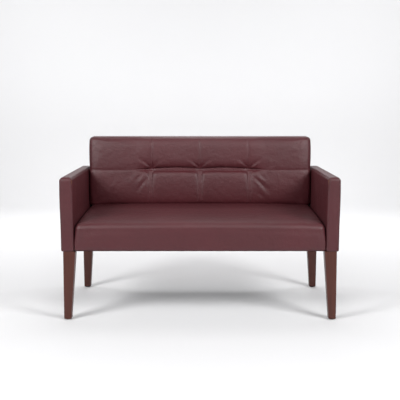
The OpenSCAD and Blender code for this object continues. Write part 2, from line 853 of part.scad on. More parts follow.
// A loop round the back part of the cushion, with one place for its underside and one for the rest
function rim_loop(off, under_y, end_y) = [for (p = face_rim)
    let (x = grid_x[p[0]], z = grid_z[p[1]], r = back_edge_r - off)
    let_down(x + p[2] * r, p[1] == 0 ? under_y : end_y, z + p[3] * r)];

function grid_index(i, j) = j * (nx + 1) + i;
function rim_indices(base) = [for (p = face_rim) base + grid_index(p[0], p[1])];

// Faces between two rows of points, without those that a corner makes empty
function strip(a, b, turned) = [
    for (k = [0:len(a) - 1]) let (n = (k + 1) % len(a))
        for (t = quad(a[n], a[k], b[k], b[n], !turned))
            if (t[0] != t[1] && t[1] != t[2] && t[0] != t[2]) t
];

function face_tris(base, outward) = [
    for (j = [0:nz - 1], i = [0:nx - 1])
        let (
            a = base + grid_index(i, j), b = base + grid_index(i + 1, j),
            c = base + grid_index(i + 1, j + 1), d = base + grid_index(i, j + 1)
        )
        each (outward ? [[a, d, c], [a, c, b]] : [[a, b, c], [a, c, d]])
];

// A cushion with a gridded face; behind, it ends in a second grid or, where there is none, in a flat fan
module cushion(face, loops, lining) {
    n = len(face_rim);
    size = len(face);
    rows = concat(
        [rim_indices(0)],
        [for (l = [0:len(loops) - 1]) [for (k = [0:n - 1]) size + l * n + k]],
        len(lining) > 0 ? [rim_indices(size + len(loops) * n)] : []
    );
    last = rows[len(rows) - 1];
    behind = size + len(loops) * n;
    walls = [for (i = [0:len(rows) - 2])
        each strip(rows[i], rows[i + 1], len(lining) > 0 && i > len(loops) / 2)];
    close = len(lining) > 0
        ? face_tris(behind, false)
        : [for (k = [0:n - 1]) [behind, last[k], last[(k + 1) % n]]];
    points = concat(face, [for (l = loops) each l],
        len(lining) > 0 ? lining : [average(loops[len(loops) - 1])]);
    polyhedron(points, concat(face_tris(0, true), walls, close));
}

module back_foam() {
    off = leather_t + fit_gap;
    color(foam_colour) difference() {
        cushion(
            face_grid(off),
            [edge_loop(off, 90), rim_loop(off, back_foam_y, back_foam_y)],
            []
        );
        for (x = tuft_x())
            rod_y([x, back_face_y, seam_h], tuft_hole_dia / 2, back_foam_y - back_face_y + overrun);
    }
}

module back_top_pad() {
    color(foam_colour) intersection() {
        box(-frame_x, frame_x, back_foam_y, frame_rear_y, frame_top_z, frame_top_z + top_foam_t);
        back_sheet(leather_t + fit_gap, frame_rear_y, frame_rear_y - back_foam_y);
    }
}

module back_cover() {
    t = leather_t;
    under_y = frame_y - fit_gap;
    color(leather_colour) difference() {
        cushion(
            face_grid(0),
            [
                edge_loop(0, 45), edge_loop(0, 90),
                rim_loop(0, back_foam_y, back_foam_y), rim_loop(0, under_y, frame_rear_y),
                rim_loop(t, under_y, frame_rear_y), rim_loop(t, back_foam_y, back_foam_y),
                edge_loop(t, 90)
            ],
            face_grid(t)
        );
        for (side = ["left", "right"]) on_side(side) unit_bolt_holes();
    }
}

module tuft_twines() {
    knot_r = 2 * twine_dia;
    color(frame_colour) for (x = tuft_x()) {
        y0 = face_y(x, seam_h) + leather_t + fit_gap;
        rod_y([x, y0, seam_h], twine_dia / 2, frame_y + tuft_rail_t + twine_dia - y0);
        rod_y([x, frame_y + tuft_rail_t, seam_h], knot_r, twine_dia);
    }
}

// Outside back

module outside_back_board() {
    color(board_colour) back_sheet(leather_t + fit_gap, back_rear_y - leather_t, board_t);
}

module outside_back_cover() {
    color(leather_colour) difference() {
        back_sheet(0, back_rear_y, leather_t + board_t);
        back_sheet(leather_t, back_rear_y - leather_t, board_t + overrun);
    }
}

// Fasteners between the units

// Heads and ends of the bolts of one side: head plane, y and z
function unit_bolts_at() = concat(
    [for (y = seat_bolts_y) [frame_x - seat_rail_t, y, side_rail_z]],
    [for (z = back_bolts_z) [frame_x - stile_w, back_mid_y, z]]
);

module unit_bolt_holes() {
    for (b = unit_bolts_at())
        rod_x([b[0] - overrun, b[1], b[2]], bolt_hole_r, post_in_x - b[0] + 2 * overrun);
}

module unit_bolt(b) {
    head_x = b[0] - washer_t;
    difference() {
        union() {
            rod_x([head_x - bolt_head_h, b[1], b[2]], bolt_head_dia / 2, bolt_head_h);
            rod_x([head_x, b[1], b[2]], bolt_dia / 2, post_in_x + insert_len - head_x);
        }
        translate([head_x - bolt_head_h - overrun, b[1], b[2]]) rotate([0, 90, 0])
            cylinder(r = socket_af / sqrt(3), h = socket_depth + overrun, $fn = 6);
    }
}

module unit_bolts() {
    color(steel_colour) for (side = ["left", "right"]) on_side(side)
        for (b = unit_bolts_at()) unit_bolt(b);
}

module bolt_washers() {
    color(steel_colour) for (side = ["left", "right"]) on_side(side)
        for (b = unit_bolts_at()) difference() {
            rod_x([b[0] - washer_t, b[1], b[2]], washer_dia / 2, washer_t);
            rod_x([b[0] - washer_t - overrun, b[1], b[2]], bolt_hole_r, washer_t + 2 * overrun);
        }
}

module threaded_inserts() {
    color(steel_colour) for (side = ["left", "right"]) on_side(side)
        for (b = unit_bolts_at()) difference() {
            rod_x([post_in_x, b[1], b[2]], insert_dia / 2, insert_len);
            rod_x([post_in_x - overrun, b[1], b[2]], bolt_dia / 2 + bore_gap, insert_len + 2 * overrun);
        }
}

function back_screws_x() = [for (i = [0:back_screw_count - 1])
    (i - (back_screw_count - 1) / 2) * 2 * (frame_x - stile_w) / back_screw_count];
back_screw_end_y = seat_rail_rear_y - back_screw_bite;

module back_screw_holes(r) {
    for (x = back_screws_x()) {
        rod_y([x, back_screw_end_y - bore_gap, back_screw_z], r, frame_rear_y - back_screw_end_y);
        rod_y([x, frame_rear_y - screw_head_h - bore_gap, back_screw_z],
            screw_head_dia / 2 + bore_gap, screw_head_h + bore_gap + overrun);
    }
}

module back_screws() {
    color(steel_colour) for (x = back_screws_x()) {
        rod_y([x, back_screw_end_y, back_screw_z], screw_dia / 2, frame_rear_y - back_screw_end_y);
        rod_y([x, frame_rear_y - screw_head_h, back_screw_z], screw_head_dia / 2, screw_head_h);
    }
}

on_side("left") front_leg();  // front_leg_left
on_side("right") front_leg();  // front_leg_right
on_side("left") rear_leg();  // rear_leg_left
on_side("right") rear_leg();  // rear_leg_right
glides();
on_side("left") side_rail();  // side_rail_left
on_side("right") side_rail();  // side_rail_right
on_side("left") arm_rail();  // arm_rail_left
on_side("right") arm_rail();  // arm_rail_right
on_side("left") arm_boards();  // arm_boards_left
on_side("right") arm_boards();  // arm_boards_right
on_side("left") arm_dowels();  // arm_dowels_left
on_side("right") arm_dowels();  // arm_dowels_right
on_side("left") arm_padding();  // arm_padding_left
on_side("right") arm_padding();  // arm_padding_right
on_side("left") arm_cover();  // arm_cover_left
on_side("right") arm_cover();  // arm_cover_right
seat_front_rail();
seat_rear_rail();
on_side("left") seat_end_rail();  // seat_end_rail_left
on_side("right") seat_end_rail();  // seat_end_rail_right
seat_centre_rail();
corner_blocks();
block_screws();
seat_dowels();
seat_webbing();
seat_foam();
seat_front_pad();
seat_cover();
dust_covers();
on_side("left") back_stile();  // back_stile_left
on_side("right") back_stile();  // back_stile_right
back_top_rail();
back_tuft_rail();
back_lower_rail();
back_bottom_rail();
back_dowels();
back_webbing();
back_foam();
back_top_pad();
back_cover();
tuft_twines();
outside_back_board();
outside_back_cover();
unit_bolts();
bolt_washers();
threaded_inserts();
back_screws();
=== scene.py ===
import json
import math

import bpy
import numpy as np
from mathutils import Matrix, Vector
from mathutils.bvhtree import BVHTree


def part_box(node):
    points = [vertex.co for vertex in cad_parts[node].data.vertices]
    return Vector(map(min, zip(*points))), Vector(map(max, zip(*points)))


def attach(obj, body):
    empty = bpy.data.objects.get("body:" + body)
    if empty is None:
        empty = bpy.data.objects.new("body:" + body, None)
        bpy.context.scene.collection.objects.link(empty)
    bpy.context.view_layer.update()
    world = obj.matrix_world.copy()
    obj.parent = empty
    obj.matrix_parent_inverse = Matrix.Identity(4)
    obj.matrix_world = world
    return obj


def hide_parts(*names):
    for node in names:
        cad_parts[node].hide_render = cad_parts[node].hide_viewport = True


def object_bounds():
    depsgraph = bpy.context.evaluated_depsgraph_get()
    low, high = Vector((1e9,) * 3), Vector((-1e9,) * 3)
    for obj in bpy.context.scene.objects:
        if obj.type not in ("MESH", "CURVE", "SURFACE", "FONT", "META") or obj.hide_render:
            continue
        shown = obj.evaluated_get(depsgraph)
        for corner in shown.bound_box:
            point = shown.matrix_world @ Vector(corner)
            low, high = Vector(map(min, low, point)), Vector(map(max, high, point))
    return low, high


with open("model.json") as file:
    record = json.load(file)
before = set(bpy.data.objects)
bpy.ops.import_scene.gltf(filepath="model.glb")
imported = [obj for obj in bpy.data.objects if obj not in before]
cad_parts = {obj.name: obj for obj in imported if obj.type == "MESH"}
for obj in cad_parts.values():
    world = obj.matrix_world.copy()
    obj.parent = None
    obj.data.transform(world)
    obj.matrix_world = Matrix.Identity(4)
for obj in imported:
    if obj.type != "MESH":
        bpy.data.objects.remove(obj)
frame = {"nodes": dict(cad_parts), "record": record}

# %% [markdown]
# # A burgundy leather two-seater
# The sofa has two thin upholstered arms, a tight seat, a back that is sewn and tufted at three
# points, and four tapered wooden legs. The rigid pieces come in ready, at their real size, and keep
# their shape. This lesson makes what is soft around them, the leather covers, the seams and the
# cloth under the seat, and then gives every surface its finish.
#
# The leather could be one shrink-wrapped skin, but a real cover is sewn from pieces that each sit
# on their own foam. So each unit gets a cover of its own, in the room that its rigid model holds.
# All lengths are in metres.

scene = bpy.context.scene
nodes = frame["nodes"]
cad_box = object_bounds()
print("rigid model:", [[round(v, 4) for v in corner] for corner in cad_box])

# %% [markdown]
# ## The camera
# The photograph looks straight at the sofa from a little above its back, with a long lens. A short
# lens close by would give the same width but would splay the arms. The distance, height and tilt
# below make the arm fronts, the seam crossings and the rear feet fall where they should.

# %% The camera
arm_front_y = cad_box[0][1]
camera_distance, camera_height, degrees_down = 3.1773, 1.0213, 8.014
camera_data = bpy.data.cameras.new("camera")
camera_data.lens = 62.62
camera_data.sensor_width = 36
camera = bpy.data.objects.new("camera", camera_data)
camera.location = (0, arm_front_y - camera_distance, camera_height)
camera.rotation_euler = (math.radians(90 - degrees_down), 0, 0)
scene.collection.objects.link(camera)
scene.camera = camera
print("camera at", [round(v, 3) for v in camera.location])

# %% [markdown]
# ## Soft blocks
# Every cover starts as a closed block with rounded edges. A scaled cube with a bevel would do for
# a box, but its faces are single polygons, and leather needs points to sink and swell. So the
# block is a fine grid on all six sides. Each grid point is pulled onto a rounded box: it is
# clamped to an inner box, and then pushed out by the radius. The radius may change over the block.

# %% Grid positions along one side of a block
def ticks(low, high, radius, step, dense=()):
    """Positions from low to high: fine in the rounded ends and in the dense stretches."""
    ends = [radius * math.tan(math.radians(a)) for a in (0, 9, 18, 27, 36, 45)]
    places = [low + radius - e for e in ends[::-1]] + [high - radius + e for e in ends]
    count = max(2, round((high - low - 2 * radius) / step))
    places += list(np.linspace(low + radius, high - radius, count + 1))
    for start, end, fine in dense:
        places = [p for p in places if not start - fine / 2 < p < end + fine / 2]
        places += list(np.linspace(start, end, max(2, round((end - start) / fine) + 1)))
    places = sorted(places)
    smallest_gap = 2e-4
    kept = [places[0]]
    for place in places[1:]:
        if place - kept[-1] > smallest_gap:
            kept.append(place)
    kept[-1] = high
    return np.array(kept)


# %% The points and faces of a block
def block_mesh(low, high, steps, skip=()):
    """A grid on the six sides of a box, or on those not in skip. Returns points and faces."""
    points, faces = [], []
    for axis in range(3):
        u, v = [(1, 2), (2, 0), (0, 1)][axis]
        for end in (0, 1):
            if (axis, end) in skip:
                continue
            grid_u, grid_v = np.meshgrid(steps[u], steps[v], indexing="ij")
            side = np.empty(grid_u.shape + (3,))
            side[..., u], side[..., v] = grid_u, grid_v
            side[..., axis] = (low, high)[end][axis]
            start = sum(len(p) for p in points)
            points.append(side.reshape(-1, 3))
            index = start + np.arange(grid_u.size).reshape(grid_u.shape)
            quad = [index[:-1, :-1], index[1:, :-1], index[1:, 1:], index[:-1, 1:]]
            faces.append(np.stack(quad if end else quad[::-1], -1).reshape(-1, 4))
    points, faces = np.concatenate(points), np.concatenate(faces)
    # points of two sides that agree to a micrometre become one, which closes the edges
    keys = np.round(points * 1e6).astype(np.int64)
    _, first, same = np.unique(keys, axis=0, return_index=True, return_inverse=True)
    return points[first], same.reshape(-1)[faces]


def round_off(points, low, high, radius):
    """Pulls the points of a box onto a box with rounded edges, and gives their normals too."""
    radius = np.broadcast_to(radius, len(points))[:, None]
    inner = np.minimum(np.maximum(points, low + radius), high - radius)
    away = points - inner
    normal = away / np.maximum(np.linalg.norm(away, axis=1), 1e-9)[:, None]
    return inner + radius * normal, normal


# %% From points to pieces, and back
def make_piece(name, points, faces, material):
    """A smooth mesh object from plain arrays, riding on the sofa."""
    mesh = bpy.data.meshes.new(name)
    mesh.from_pydata([tuple(p) for p in points], [], [tuple(int(i) for i in f) for f in faces])
    mesh.update()
    mesh.polygons.foreach_set("use_smooth", [True] * len(mesh.polygons))
    mesh.materials.append(material)
    piece = bpy.data.objects.new(name, mesh)
    scene.collection.objects.link(piece)
    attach(piece, "root")
    return piece


def points_of(piece):
    """Where the points of a piece are."""
    return np.array([v.co for v in piece.data.vertices])


def move_points(piece, points):
    """Puts the points of a piece in new places."""
    piece.data.vertices.foreach_set("co", points.ravel())
    piece.data.update()


# %% Slopes, waves and seam lines
def step_up(values, start, end):
    """0 below start, 1 above end, and a soft slope between."""
    t = np.clip((values - start) / (end - start), 0, 1)
    return t * t * (3 - 2 * t)


def waves(x, y, seed, length):
    """Soft unevenness, mostly between -1 and 1, from a few crossing waves that never repeat."""
    rng = np.random.default_rng(seed)
    total = np.zeros_like(x)
    for _ in range(7):
        angle, phase = rng.uniform(0, 2 * math.pi, 2)
        k = 2 * math.pi / (length * rng.uniform(0.7, 1.6))
        total += np.sin(k * (x * math.cos(angle) + y * math.sin(angle)) + phase)
    return total / 4


def seam_line(distance, width, depth):
    """How deep a sewn line draws the leather in, at a distance from it."""
    return depth * np.exp(-(distance / width) ** 2)


# %% [markdown]
# ## Shared surface effects
# Leather grain, uneven dye, wood fibre and weave each serve more than one finish. They could be
# built afresh in every material, but then one correction would have to be made many times. Each
# is a node group with its own inputs, and puts out only heights and masks. The shaders stay in
# the materials.

# %% Helpers for node groups
def effect(name, inputs, outputs):
    """An empty shader node group. Inputs whose default is None are vectors, the rest values."""
    group = bpy.data.node_groups.new(name, "ShaderNodeTree")
    for title, default in inputs:
        kind = "NodeSocketVector" if default is None else "NodeSocketFloat"
        socket = group.interface.new_socket(title, in_out="INPUT", socket_type=kind)
        if default is not None:
            socket.default_value = default
    for title in outputs:
        group.interface.new_socket(title, in_out="OUTPUT", socket_type="NodeSocketFloat")
    entry, way_out = group.nodes.new("NodeGroupInput"), group.nodes.new("NodeGroupOutput")
    return group, entry.outputs, way_out.inputs


def node(tree, kind, links=(), **settings):
    """A node with its settings, and links given as (input, source socket)."""
    made = tree.nodes.new(kind)
    for key, value in settings.items():
        if key in made.bl_rna.properties:
            setattr(made, key, value)
        else:
            made.inputs[key.replace("_", " ")].default_value = value
    for target, source in links:
        tree.links.new(source, made.inputs[target])
    return made


def maths(tree, operation, *values):
    """The result of a Math node whose values are numbers or sockets."""
    made = node(tree, "ShaderNodeMath", operation=operation)
    for i, value in enumerate(values):
        if isinstance(value, (int, float)):
            made.inputs[i].default_value = value
        else:
            tree.links.new(value, made.inputs[i])
    return made.outputs[0]


def noise(tree, vector, **settings):
    """The value of a Noise node. Settings may be numbers or, for the scale, a socket."""
    links = [("Vector", vector)]
    if "Scale" in settings and not isinstance(settings["Scale"], float):
        links.append(("Scale", settings.pop("Scale")))
    return node(tree, "ShaderNodeTexNoise", links, **settings)


# %% Grain of leather: small pebbles with fine creases between them
grain, given, result = effect(
    "leather_grain", [("Vector", None), ("Pebbles per metre", 520.0), ("Crease", 0.6)], ["Height"])
warp = noise(grain, given["Vector"], Scale=70.0, Detail=2.0)
shift = node(grain, "ShaderNodeVectorMath", [(0, warp.outputs["Color"])],
             operation="SCALE", Scale=0.006)
place = node(grain, "ShaderNodeVectorMath", [(0, given["Vector"]), (1, shift.outputs[0])],
             operation="ADD")
cells = node(grain, "ShaderNodeTexVoronoi", [
    ("Vector", place.outputs[0]), ("Scale", given["Pebbles per metre"])], feature="SMOOTH_F1")
pebble = maths(grain, "SUBTRACT", 1.0, cells.outputs["Distance"])
wrinkle = noise(grain, place.outputs[0], Scale=210.0, Detail=4.0, Roughness=0.6)
crease = maths(grain, "MULTIPLY", wrinkle.outputs[0], given["Crease"])
grain.links.new(maths(grain, "ADD", pebble, crease), result["Height"])

# %% Uneven tone: broad clouds with a finer mottle in them
tone, given, result = effect(
    "uneven_tone", [("Vector", None), ("Clouds", 5.0), ("Mottle", 60.0)], ["Mask"])
cloud = noise(tone, given["Vector"], Scale=given["Clouds"], Detail=3.0)
mottle = noise(tone, given["Vector"], Scale=given["Mottle"], Detail=5.0)
both = maths(tone, "ADD", maths(tone, "MULTIPLY", cloud.outputs[0], 0.65),
             maths(tone, "MULTIPLY", mottle.outputs[0], 0.35))
tone.links.new(both, result["Mask"])

# %% Slackness of a hide: soft dents a finger wide, some of them drawn out into pulls
slackness, given, result = effect(
    "hide_slackness", [("Vector", None), ("Dents per metre", 34.0)], ["Height"])
dent = noise(slackness, given["Vector"], Scale=given["Dents per metre"], Detail=2.5, Roughness=0.55)
drawn = node(slackness, "ShaderNodeMapping", [("Vector", given["Vector"])])
drawn.inputs["Rotation"].default_value = (0.3, 0.5, 0.6)
drawn.inputs["Scale"].default_value = (0.45, 1, 1)
pull = noise(slackness, drawn.outputs[0], Scale=62.0, Detail=1.0, Distortion=0.8)
both = maths(slackness, "ADD", dent.outputs[0], maths(slackness, "MULTIPLY", pull.outputs[0], 0.35))
slackness.links.new(both, result["Height"])

# %% Fibre of wood: streaks that run along Z, with pores
fibre, given, result = effect(
    "wood_fibre", [("Vector", None), ("Streaks", 150.0)], ["Mask", "Height"])
stretch = node(fibre, "ShaderNodeMapping", [("Vector", given["Vector"])])
stretch.inputs["Scale"].default_value = (1, 1, 0.045)
streak = noise(fibre, stretch.outputs[0], Scale=given["Streaks"], Detail=5.0, Distortion=0.4)
broad = noise(fibre, stretch.outputs[0], Scale=34.0, Detail=2.0)
pores = noise(fibre, stretch.outputs[0], Scale=900.0, Detail=1.0)
both = maths(fibre, "ADD", maths(fibre, "MULTIPLY", streak.outputs[0], 0.6),
             maths(fibre, "MULTIPLY", broad.outputs[0], 0.4))
fibre.links.new(both, result["Mask"])
both = maths(fibre, "ADD", streak.outputs[0], maths(fibre, "MULTIPLY", pores.outputs[0], 0.5))
fibre.links.new(both, result["Height"])

# %% Weave: threads that cross over and under
weave, given, result = effect(
    "plain_weave", [("Vector", None), ("Threads per metre", 900.0)], ["Height"])
turned = node(weave, "ShaderNodeVectorMath", [(0, given["Vector"])], operation="SCALE")
weave.links.new(maths(weave, "MULTIPLY", given["Threads per metre"], math.pi),
                turned.inputs["Scale"])
axes = node(weave, "ShaderNodeSeparateXYZ", [(0, turned.outputs[0])])
across = maths(weave, "SINE", maths(weave, "ADD", axes.outputs["X"], axes.outputs["Z"]))
along = maths(weave, "SINE", maths(weave, "ADD", axes.outputs["Y"], axes.outputs["Z"]))
weave.links.new(maths(weave, "ABSOLUTE", maths(weave, "MULTIPLY", across, along)), result["Height"])
print("effects:", [g.name for g in bpy.data.node_groups])


# %% [markdown]
# ## Finishes
# Each finish is one Principled shader. Its plain numbers sit on its own sockets, and only what
# changes over the surface is linked. Coordinates are the object's own, in metres, so a grain of a
# millimetre is a millimetre everywhere and needs no unwrapping.

# %% Helpers for finishes
def srgb(*levels):
    """A linear colour from the 0 to 255 levels that a screen shows."""
    values = [v / 255 for v in levels]
    return [v / 12.92 if v <= 0.04045 else ((v + 0.055) / 1.055) ** 2.4 for v in values] + [1.0]


def toned(clouds, mottle):
    """Uneven tone, as the effect and its inputs. The sizes are in spots per metre."""
    return tone, {"Clouds": clouds, "Mottle": mottle}


def grained(pebbles, crease=0.6):
    """Leather grain, as the effect and its inputs."""
    return grain, {"Pebbles per metre": pebbles, "Crease": crease}


def fibred(streaks):
    """Wood fibre, as the effect and its inputs."""
    return fibre, {"Streaks": streaks}


def woven(threads):
    """Weave, as the effect and its inputs."""
    return weave, {"Threads per metre": threads}


def finish(name, dark, light, colour_from, height_from, bump, depth, rough, slack=0.0, **fixed):
    """A material whose colour and roughness follow one effect and whose bump follows another."""
    material = bpy.data.materials.new(name)
    material.use_nodes = True
    tree = material.node_tree
    shader = tree.nodes["Principled BSDF"]
    for key, value in fixed.items():
        shader.inputs[key.replace("_", " ")].default_value = value
    where = node(tree, "ShaderNodeTexCoord").outputs["Object"]
    colour = node(tree, "ShaderNodeGroup", node_tree=colour_from[0])
    height = node(tree, "ShaderNodeGroup", node_tree=height_from[0])
    for group, values in ((colour, colour_from[1]), (height, height_from[1])):
        tree.links.new(where, group.inputs["Vector"])
        for key, value in values.items():
            group.inputs[key].default_value = value
    mix = node(tree, "ShaderNodeMix", [("Factor", colour.outputs["Mask"])], data_type="RGBA")
    mix.inputs["A"].default_value, mix.inputs["B"].default_value = dark, light
    tree.links.new(mix.outputs["Result"], shader.inputs["Base Color"])
    spread = node(tree, "ShaderNodeMapRange", [("Value", colour.outputs["Mask"])],
                  To_Min=rough[0], To_Max=rough[1])
    tree.links.new(spread.outputs[0], shader.inputs["Roughness"])
    relief = node(tree, "ShaderNodeBump", [("Height", height.outputs["Height"])],
                  Strength=bump, Distance=depth)
    if slack:
        dents = node(tree, "ShaderNodeGroup", [("Vector", where)], node_tree=slackness)
        soft = node(tree, "ShaderNodeBump", [("Height", dents.outputs["Height"])],
                    Strength=1.0, Distance=slack)
        tree.links.new(soft.outputs["Normal"], relief.inputs["Normal"])
    tree.links.new(relief.outputs["Normal"], shader.inputs["Normal"])
    return material


# %% Leather, wood, metal, plastic and cloth
leather = finish(
    "burgundy_leather", srgb(57, 10, 16), srgb(83, 17, 28), toned(4.0, 90.0), grained(620.0, 0.7),
    bump=0.28, depth=0.0006, rough=(0.50, 0.62), slack=0.0021, Specular_IOR_Level=0.66)
thread = finish(
    "upholstery_thread", srgb(70, 34, 36), srgb(92, 50, 52), toned(40.0, 900.0), woven(2600.0),
    bump=0.4, depth=0.0003, rough=(0.5, 0.7))
stained_beech = finish(
    "stained_beech", srgb(52, 21, 15), srgb(94, 48, 36), fibred(130.0), fibred(320.0),
    bump=0.12, depth=0.0004, rough=(0.34, 0.48),
    Specular_IOR_Level=0.36, Coat_Weight=0.10, Coat_Roughness=0.22)
raw_hardwood = finish(
    "raw_hardwood", srgb(176, 140, 98), srgb(214, 182, 138), fibred(90.0), fibred(260.0),
    bump=0.2, depth=0.0005, rough=(0.6, 0.75))
hardboard = finish(
    "hardboard", srgb(112, 78, 50), srgb(142, 104, 70), toned(30.0, 700.0), woven(900.0),
    bump=0.15, depth=0.0003, rough=(0.6, 0.8))
foam = finish(
    "upholstery_foam", srgb(226, 216, 178), srgb(240, 232, 200), toned(20.0, 600.0), grained(900.0),
    bump=0.5, depth=0.0006, rough=(0.85, 0.95))
wadding = finish(
    "polyester_wadding", srgb(222, 222, 218), srgb(240, 240, 238), toned(30.0, 900.0),
    (slackness, {"Dents per metre": 160.0}), bump=0.6, depth=0.0012, rough=(0.85, 0.95))
black_cloth = finish(
    "dust_cloth", srgb(18, 18, 20), srgb(34, 34, 37), toned(60.0, 1200.0), woven(1100.0),
    bump=0.35, depth=0.0003, rough=(0.8, 0.95))
webbing = finish(
    "elastic_webbing", srgb(26, 26, 29), srgb(52, 50, 50), toned(80.0, 900.0), woven(620.0),
    bump=0.6, depth=0.0006, rough=(0.7, 0.85))
twine = finish(
    "tuft_twine", srgb(178, 160, 126), srgb(214, 198, 164), toned(80.0, 900.0), woven(1800.0),
    bump=0.5, depth=0.0004, rough=(0.6, 0.7))
zinc = finish(
    "zinc_steel", srgb(150, 153, 158), srgb(190, 193, 198), toned(60.0, 700.0), grained(900.0),
    bump=0.05, depth=0.0002, rough=(0.28, 0.42), Metallic=1.0)
nylon = finish(
    "black_nylon", srgb(14, 14, 15), srgb(30, 30, 32), toned(60.0, 900.0), grained(1400.0),
    bump=0.15, depth=0.0002, rough=(0.4, 0.55))

# %% Every rigid node gets the finish of its slot
finishes = {
    "leather": leather, "leg_wood": stained_beech, "frame_wood": raw_hardwood,
    "hardboard": hardboard, "foam": foam, "wadding": wadding, "webbing": webbing,
    "dust_cloth": black_cloth, "twine": twine, "zinc_steel": zinc, "glide_nylon": nylon,
}
for part in frame["record"]["subparts"]:
    piece = nodes[part["node"]]
    piece.data.materials.clear()
    piece.data.materials.append(finishes[part["material_slot"]])
print(len(nodes), "rigid nodes have", len(finishes), "finishes")

# %% [markdown]
# ## The arms
# An arm is a thin upright panel, padded a little on its sides and more on its top. A gusset runs
# up its front, over its top and down behind, and is sewn to the two side panels. It could be
# modelled from those three pieces, but sewn leather reads as one surface with sunken seam lines.
# So it is one block whose points sink at the two seams.

# %% The sewing of an arm
def arm_sewing(rest, low, high, seed):
    """How far the leather lies inside the block: at the seams, and less where a side swells."""
    middle_x, half = (low[0] + high[0]) / 2, (high[0] - low[0]) / 2
    # distance along the surface from the edge between the gusset and a side panel
    from_front = np.minimum(rest[:, 1] - low[1], high[1] - rest[:, 1])
    rim = np.minimum(from_front, high[2] - rest[:, 2])
    on_side = np.abs(np.abs(rest[:, 0] - middle_x) - half) < 1e-6
    from_edge = np.where(on_side, rim, half - np.abs(rest[:, 0] - middle_x))
    # the seam runs a little inside the side panel, which swells towards its middle
    seam_inset, seam_width, seam_depth, swell, dents = 0.005, 0.0022, 0.0009, 0.0012, 0.0006
    above_foot = step_up(rest[:, 2], low[2] + 0.004, low[2] + 0.02)
    inward = seam_line(from_edge - seam_inset, seam_width, seam_depth) * on_side * above_foot
    uneven = waves(rest[:, 1], rest[:, 2], seed, 0.22) * step_up(rim, 0.01, 0.08)
    inward += (swell - step_up(from_edge, 0.0, 0.06) * swell + dents * uneven) * on_side
    return inward


# %% The arms
def build_arm(side):
    """One arm in its leather, in the room of the rigid arm cover."""
    sign, seed = (-1, 5) if side == "left" else (1, 8)
    low, high = (np.array(v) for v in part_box("arm_cover_" + side))
    steps = [ticks(low[a], high[a], radius=0.018, step=0.009) for a in range(3)]
    rest, faces = block_mesh(low, high, steps)
    near_top = step_up(rest[:, 2], high[2] - 0.10, high[2] - 0.01)
    near_foot = 1 - step_up(rest[:, 2], low[2] + 0.004, low[2] + 0.03)
    edge, more_at_top, less_at_foot = 0.010, 0.008, 0.002
    radius = edge + more_at_top * near_top - less_at_foot * near_foot
    points, normal = round_off(rest, low, high, radius)
    # the gusset is fullest along its middle line, and a little fuller high up in front
    middle_x, half = (low[0] + high[0]) / 2, (high[0] - low[0]) / 2
    across = np.clip((rest[:, 0] - middle_x) / half, -1, 1)
    top = np.isclose(rest[:, 2], high[2])
    front = np.isclose(rest[:, 1], low[1])
    top_crown, front_crown, front_lean = 0.0016, 0.0012, 0.0012
    points[:, 2] -= top * top_crown * across ** 2
    points[:, 1] += front * (front_crown * across ** 2 + front_lean * (1 - near_top))
    points -= normal * arm_sewing(rest, low, high, seed)[:, None]
    spare = 0.0005
    points = np.minimum(np.maximum(points, low - spare), high + spare)
    # the outer side stands out a little more above the seat than below it
    outer, stand_out = np.clip((points[:, 0] - middle_x) / half * sign, 0, 1), 0.0018
    points[:, 0] += sign * outer * stand_out * step_up(points[:, 2], 0.42, 0.62)
    arm = make_piece("arm_leather_" + side, points, faces, leather)
    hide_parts("arm_cover_" + side, "arm_padding_" + side)
    return arm


arms = [build_arm(side) for side in ("left", "right")]
print("each arm has", len(arms[0].data.vertices), "points")

# %% [markdown]
# ## The seat
# The seat is a tight block: foam over webbing, under one cover that is pulled down over the rails.
# It crowns in the middle and drops towards the arms, and its front edge is soft. The pull of the
# cover is what makes it look real, so the block is blown up a little as cloth, with its lower
# edge held, before it is used.

# %% Blowing up a cover as cloth
def blow_up(piece, held, cap):
    """Runs Blender's cloth on the piece, holds the points in held, and caps how far any moves."""
    frames, pressure = 20, 1.0
    before = points_of(piece)
    group = piece.vertex_groups.new(name="held")
    for i in np.nonzero(held > 0)[0]:
        group.add([int(i)], float(held[i]), "REPLACE")
    cloth = piece.modifiers.new("cloth", "CLOTH")
    settings = cloth.settings
    settings.quality = 6
    settings.mass = 0.6
    settings.tension_stiffness = settings.compression_stiffness = 30
    settings.shear_stiffness = 12
    settings.bending_stiffness = 1.2
    settings.vertex_group_mass = "held"
    settings.use_pressure = True
    settings.uniform_pressure_force = pressure
    settings.effector_weights.gravity = 0
    cloth.collision_settings.use_collision = False
    cloth.point_cache.frame_start, cloth.point_cache.frame_end = 1, frames
    for number in range(1, frames + 1):
        scene.frame_set(number)
    shown = piece.evaluated_get(bpy.context.evaluated_depsgraph_get())
    moved = points_of(shown) - before
    piece.modifiers.remove(cloth)
    piece.vertex_groups.remove(group)
    scene.frame_set(1)
    size = np.linalg.norm(moved, axis=1)
    moved *= (cap * np.tanh(size / cap) / np.maximum(size, 1e-9))[:, None]
    move_points(piece, before + moved)
    print(piece.name, "swelled by", round(size.max() * 1000, 1), "mm, kept to", cap * 1000)


# %% The crown of the seat
seat_low, seat_high = (np.array(v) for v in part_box("seat_cover"))
crown, end_drop = 0.025, 0.009
seat_edge_z = seat_high[2] - crown
pull_lines = (-0.271, 0, 0.271)


def seat_top(x, y):
    """Height of the seat's crown, as the rigid seat has it."""
    back = np.clip((y - seat_low[1]) / (seat_high[1] - seat_low[1]), 0, 1)
    return seat_edge_z + crown * (1 - (1 - back) ** 2) - end_drop * np.abs(x / seat_high[0]) ** 4


print("the seat's crown is", crown, "m high")


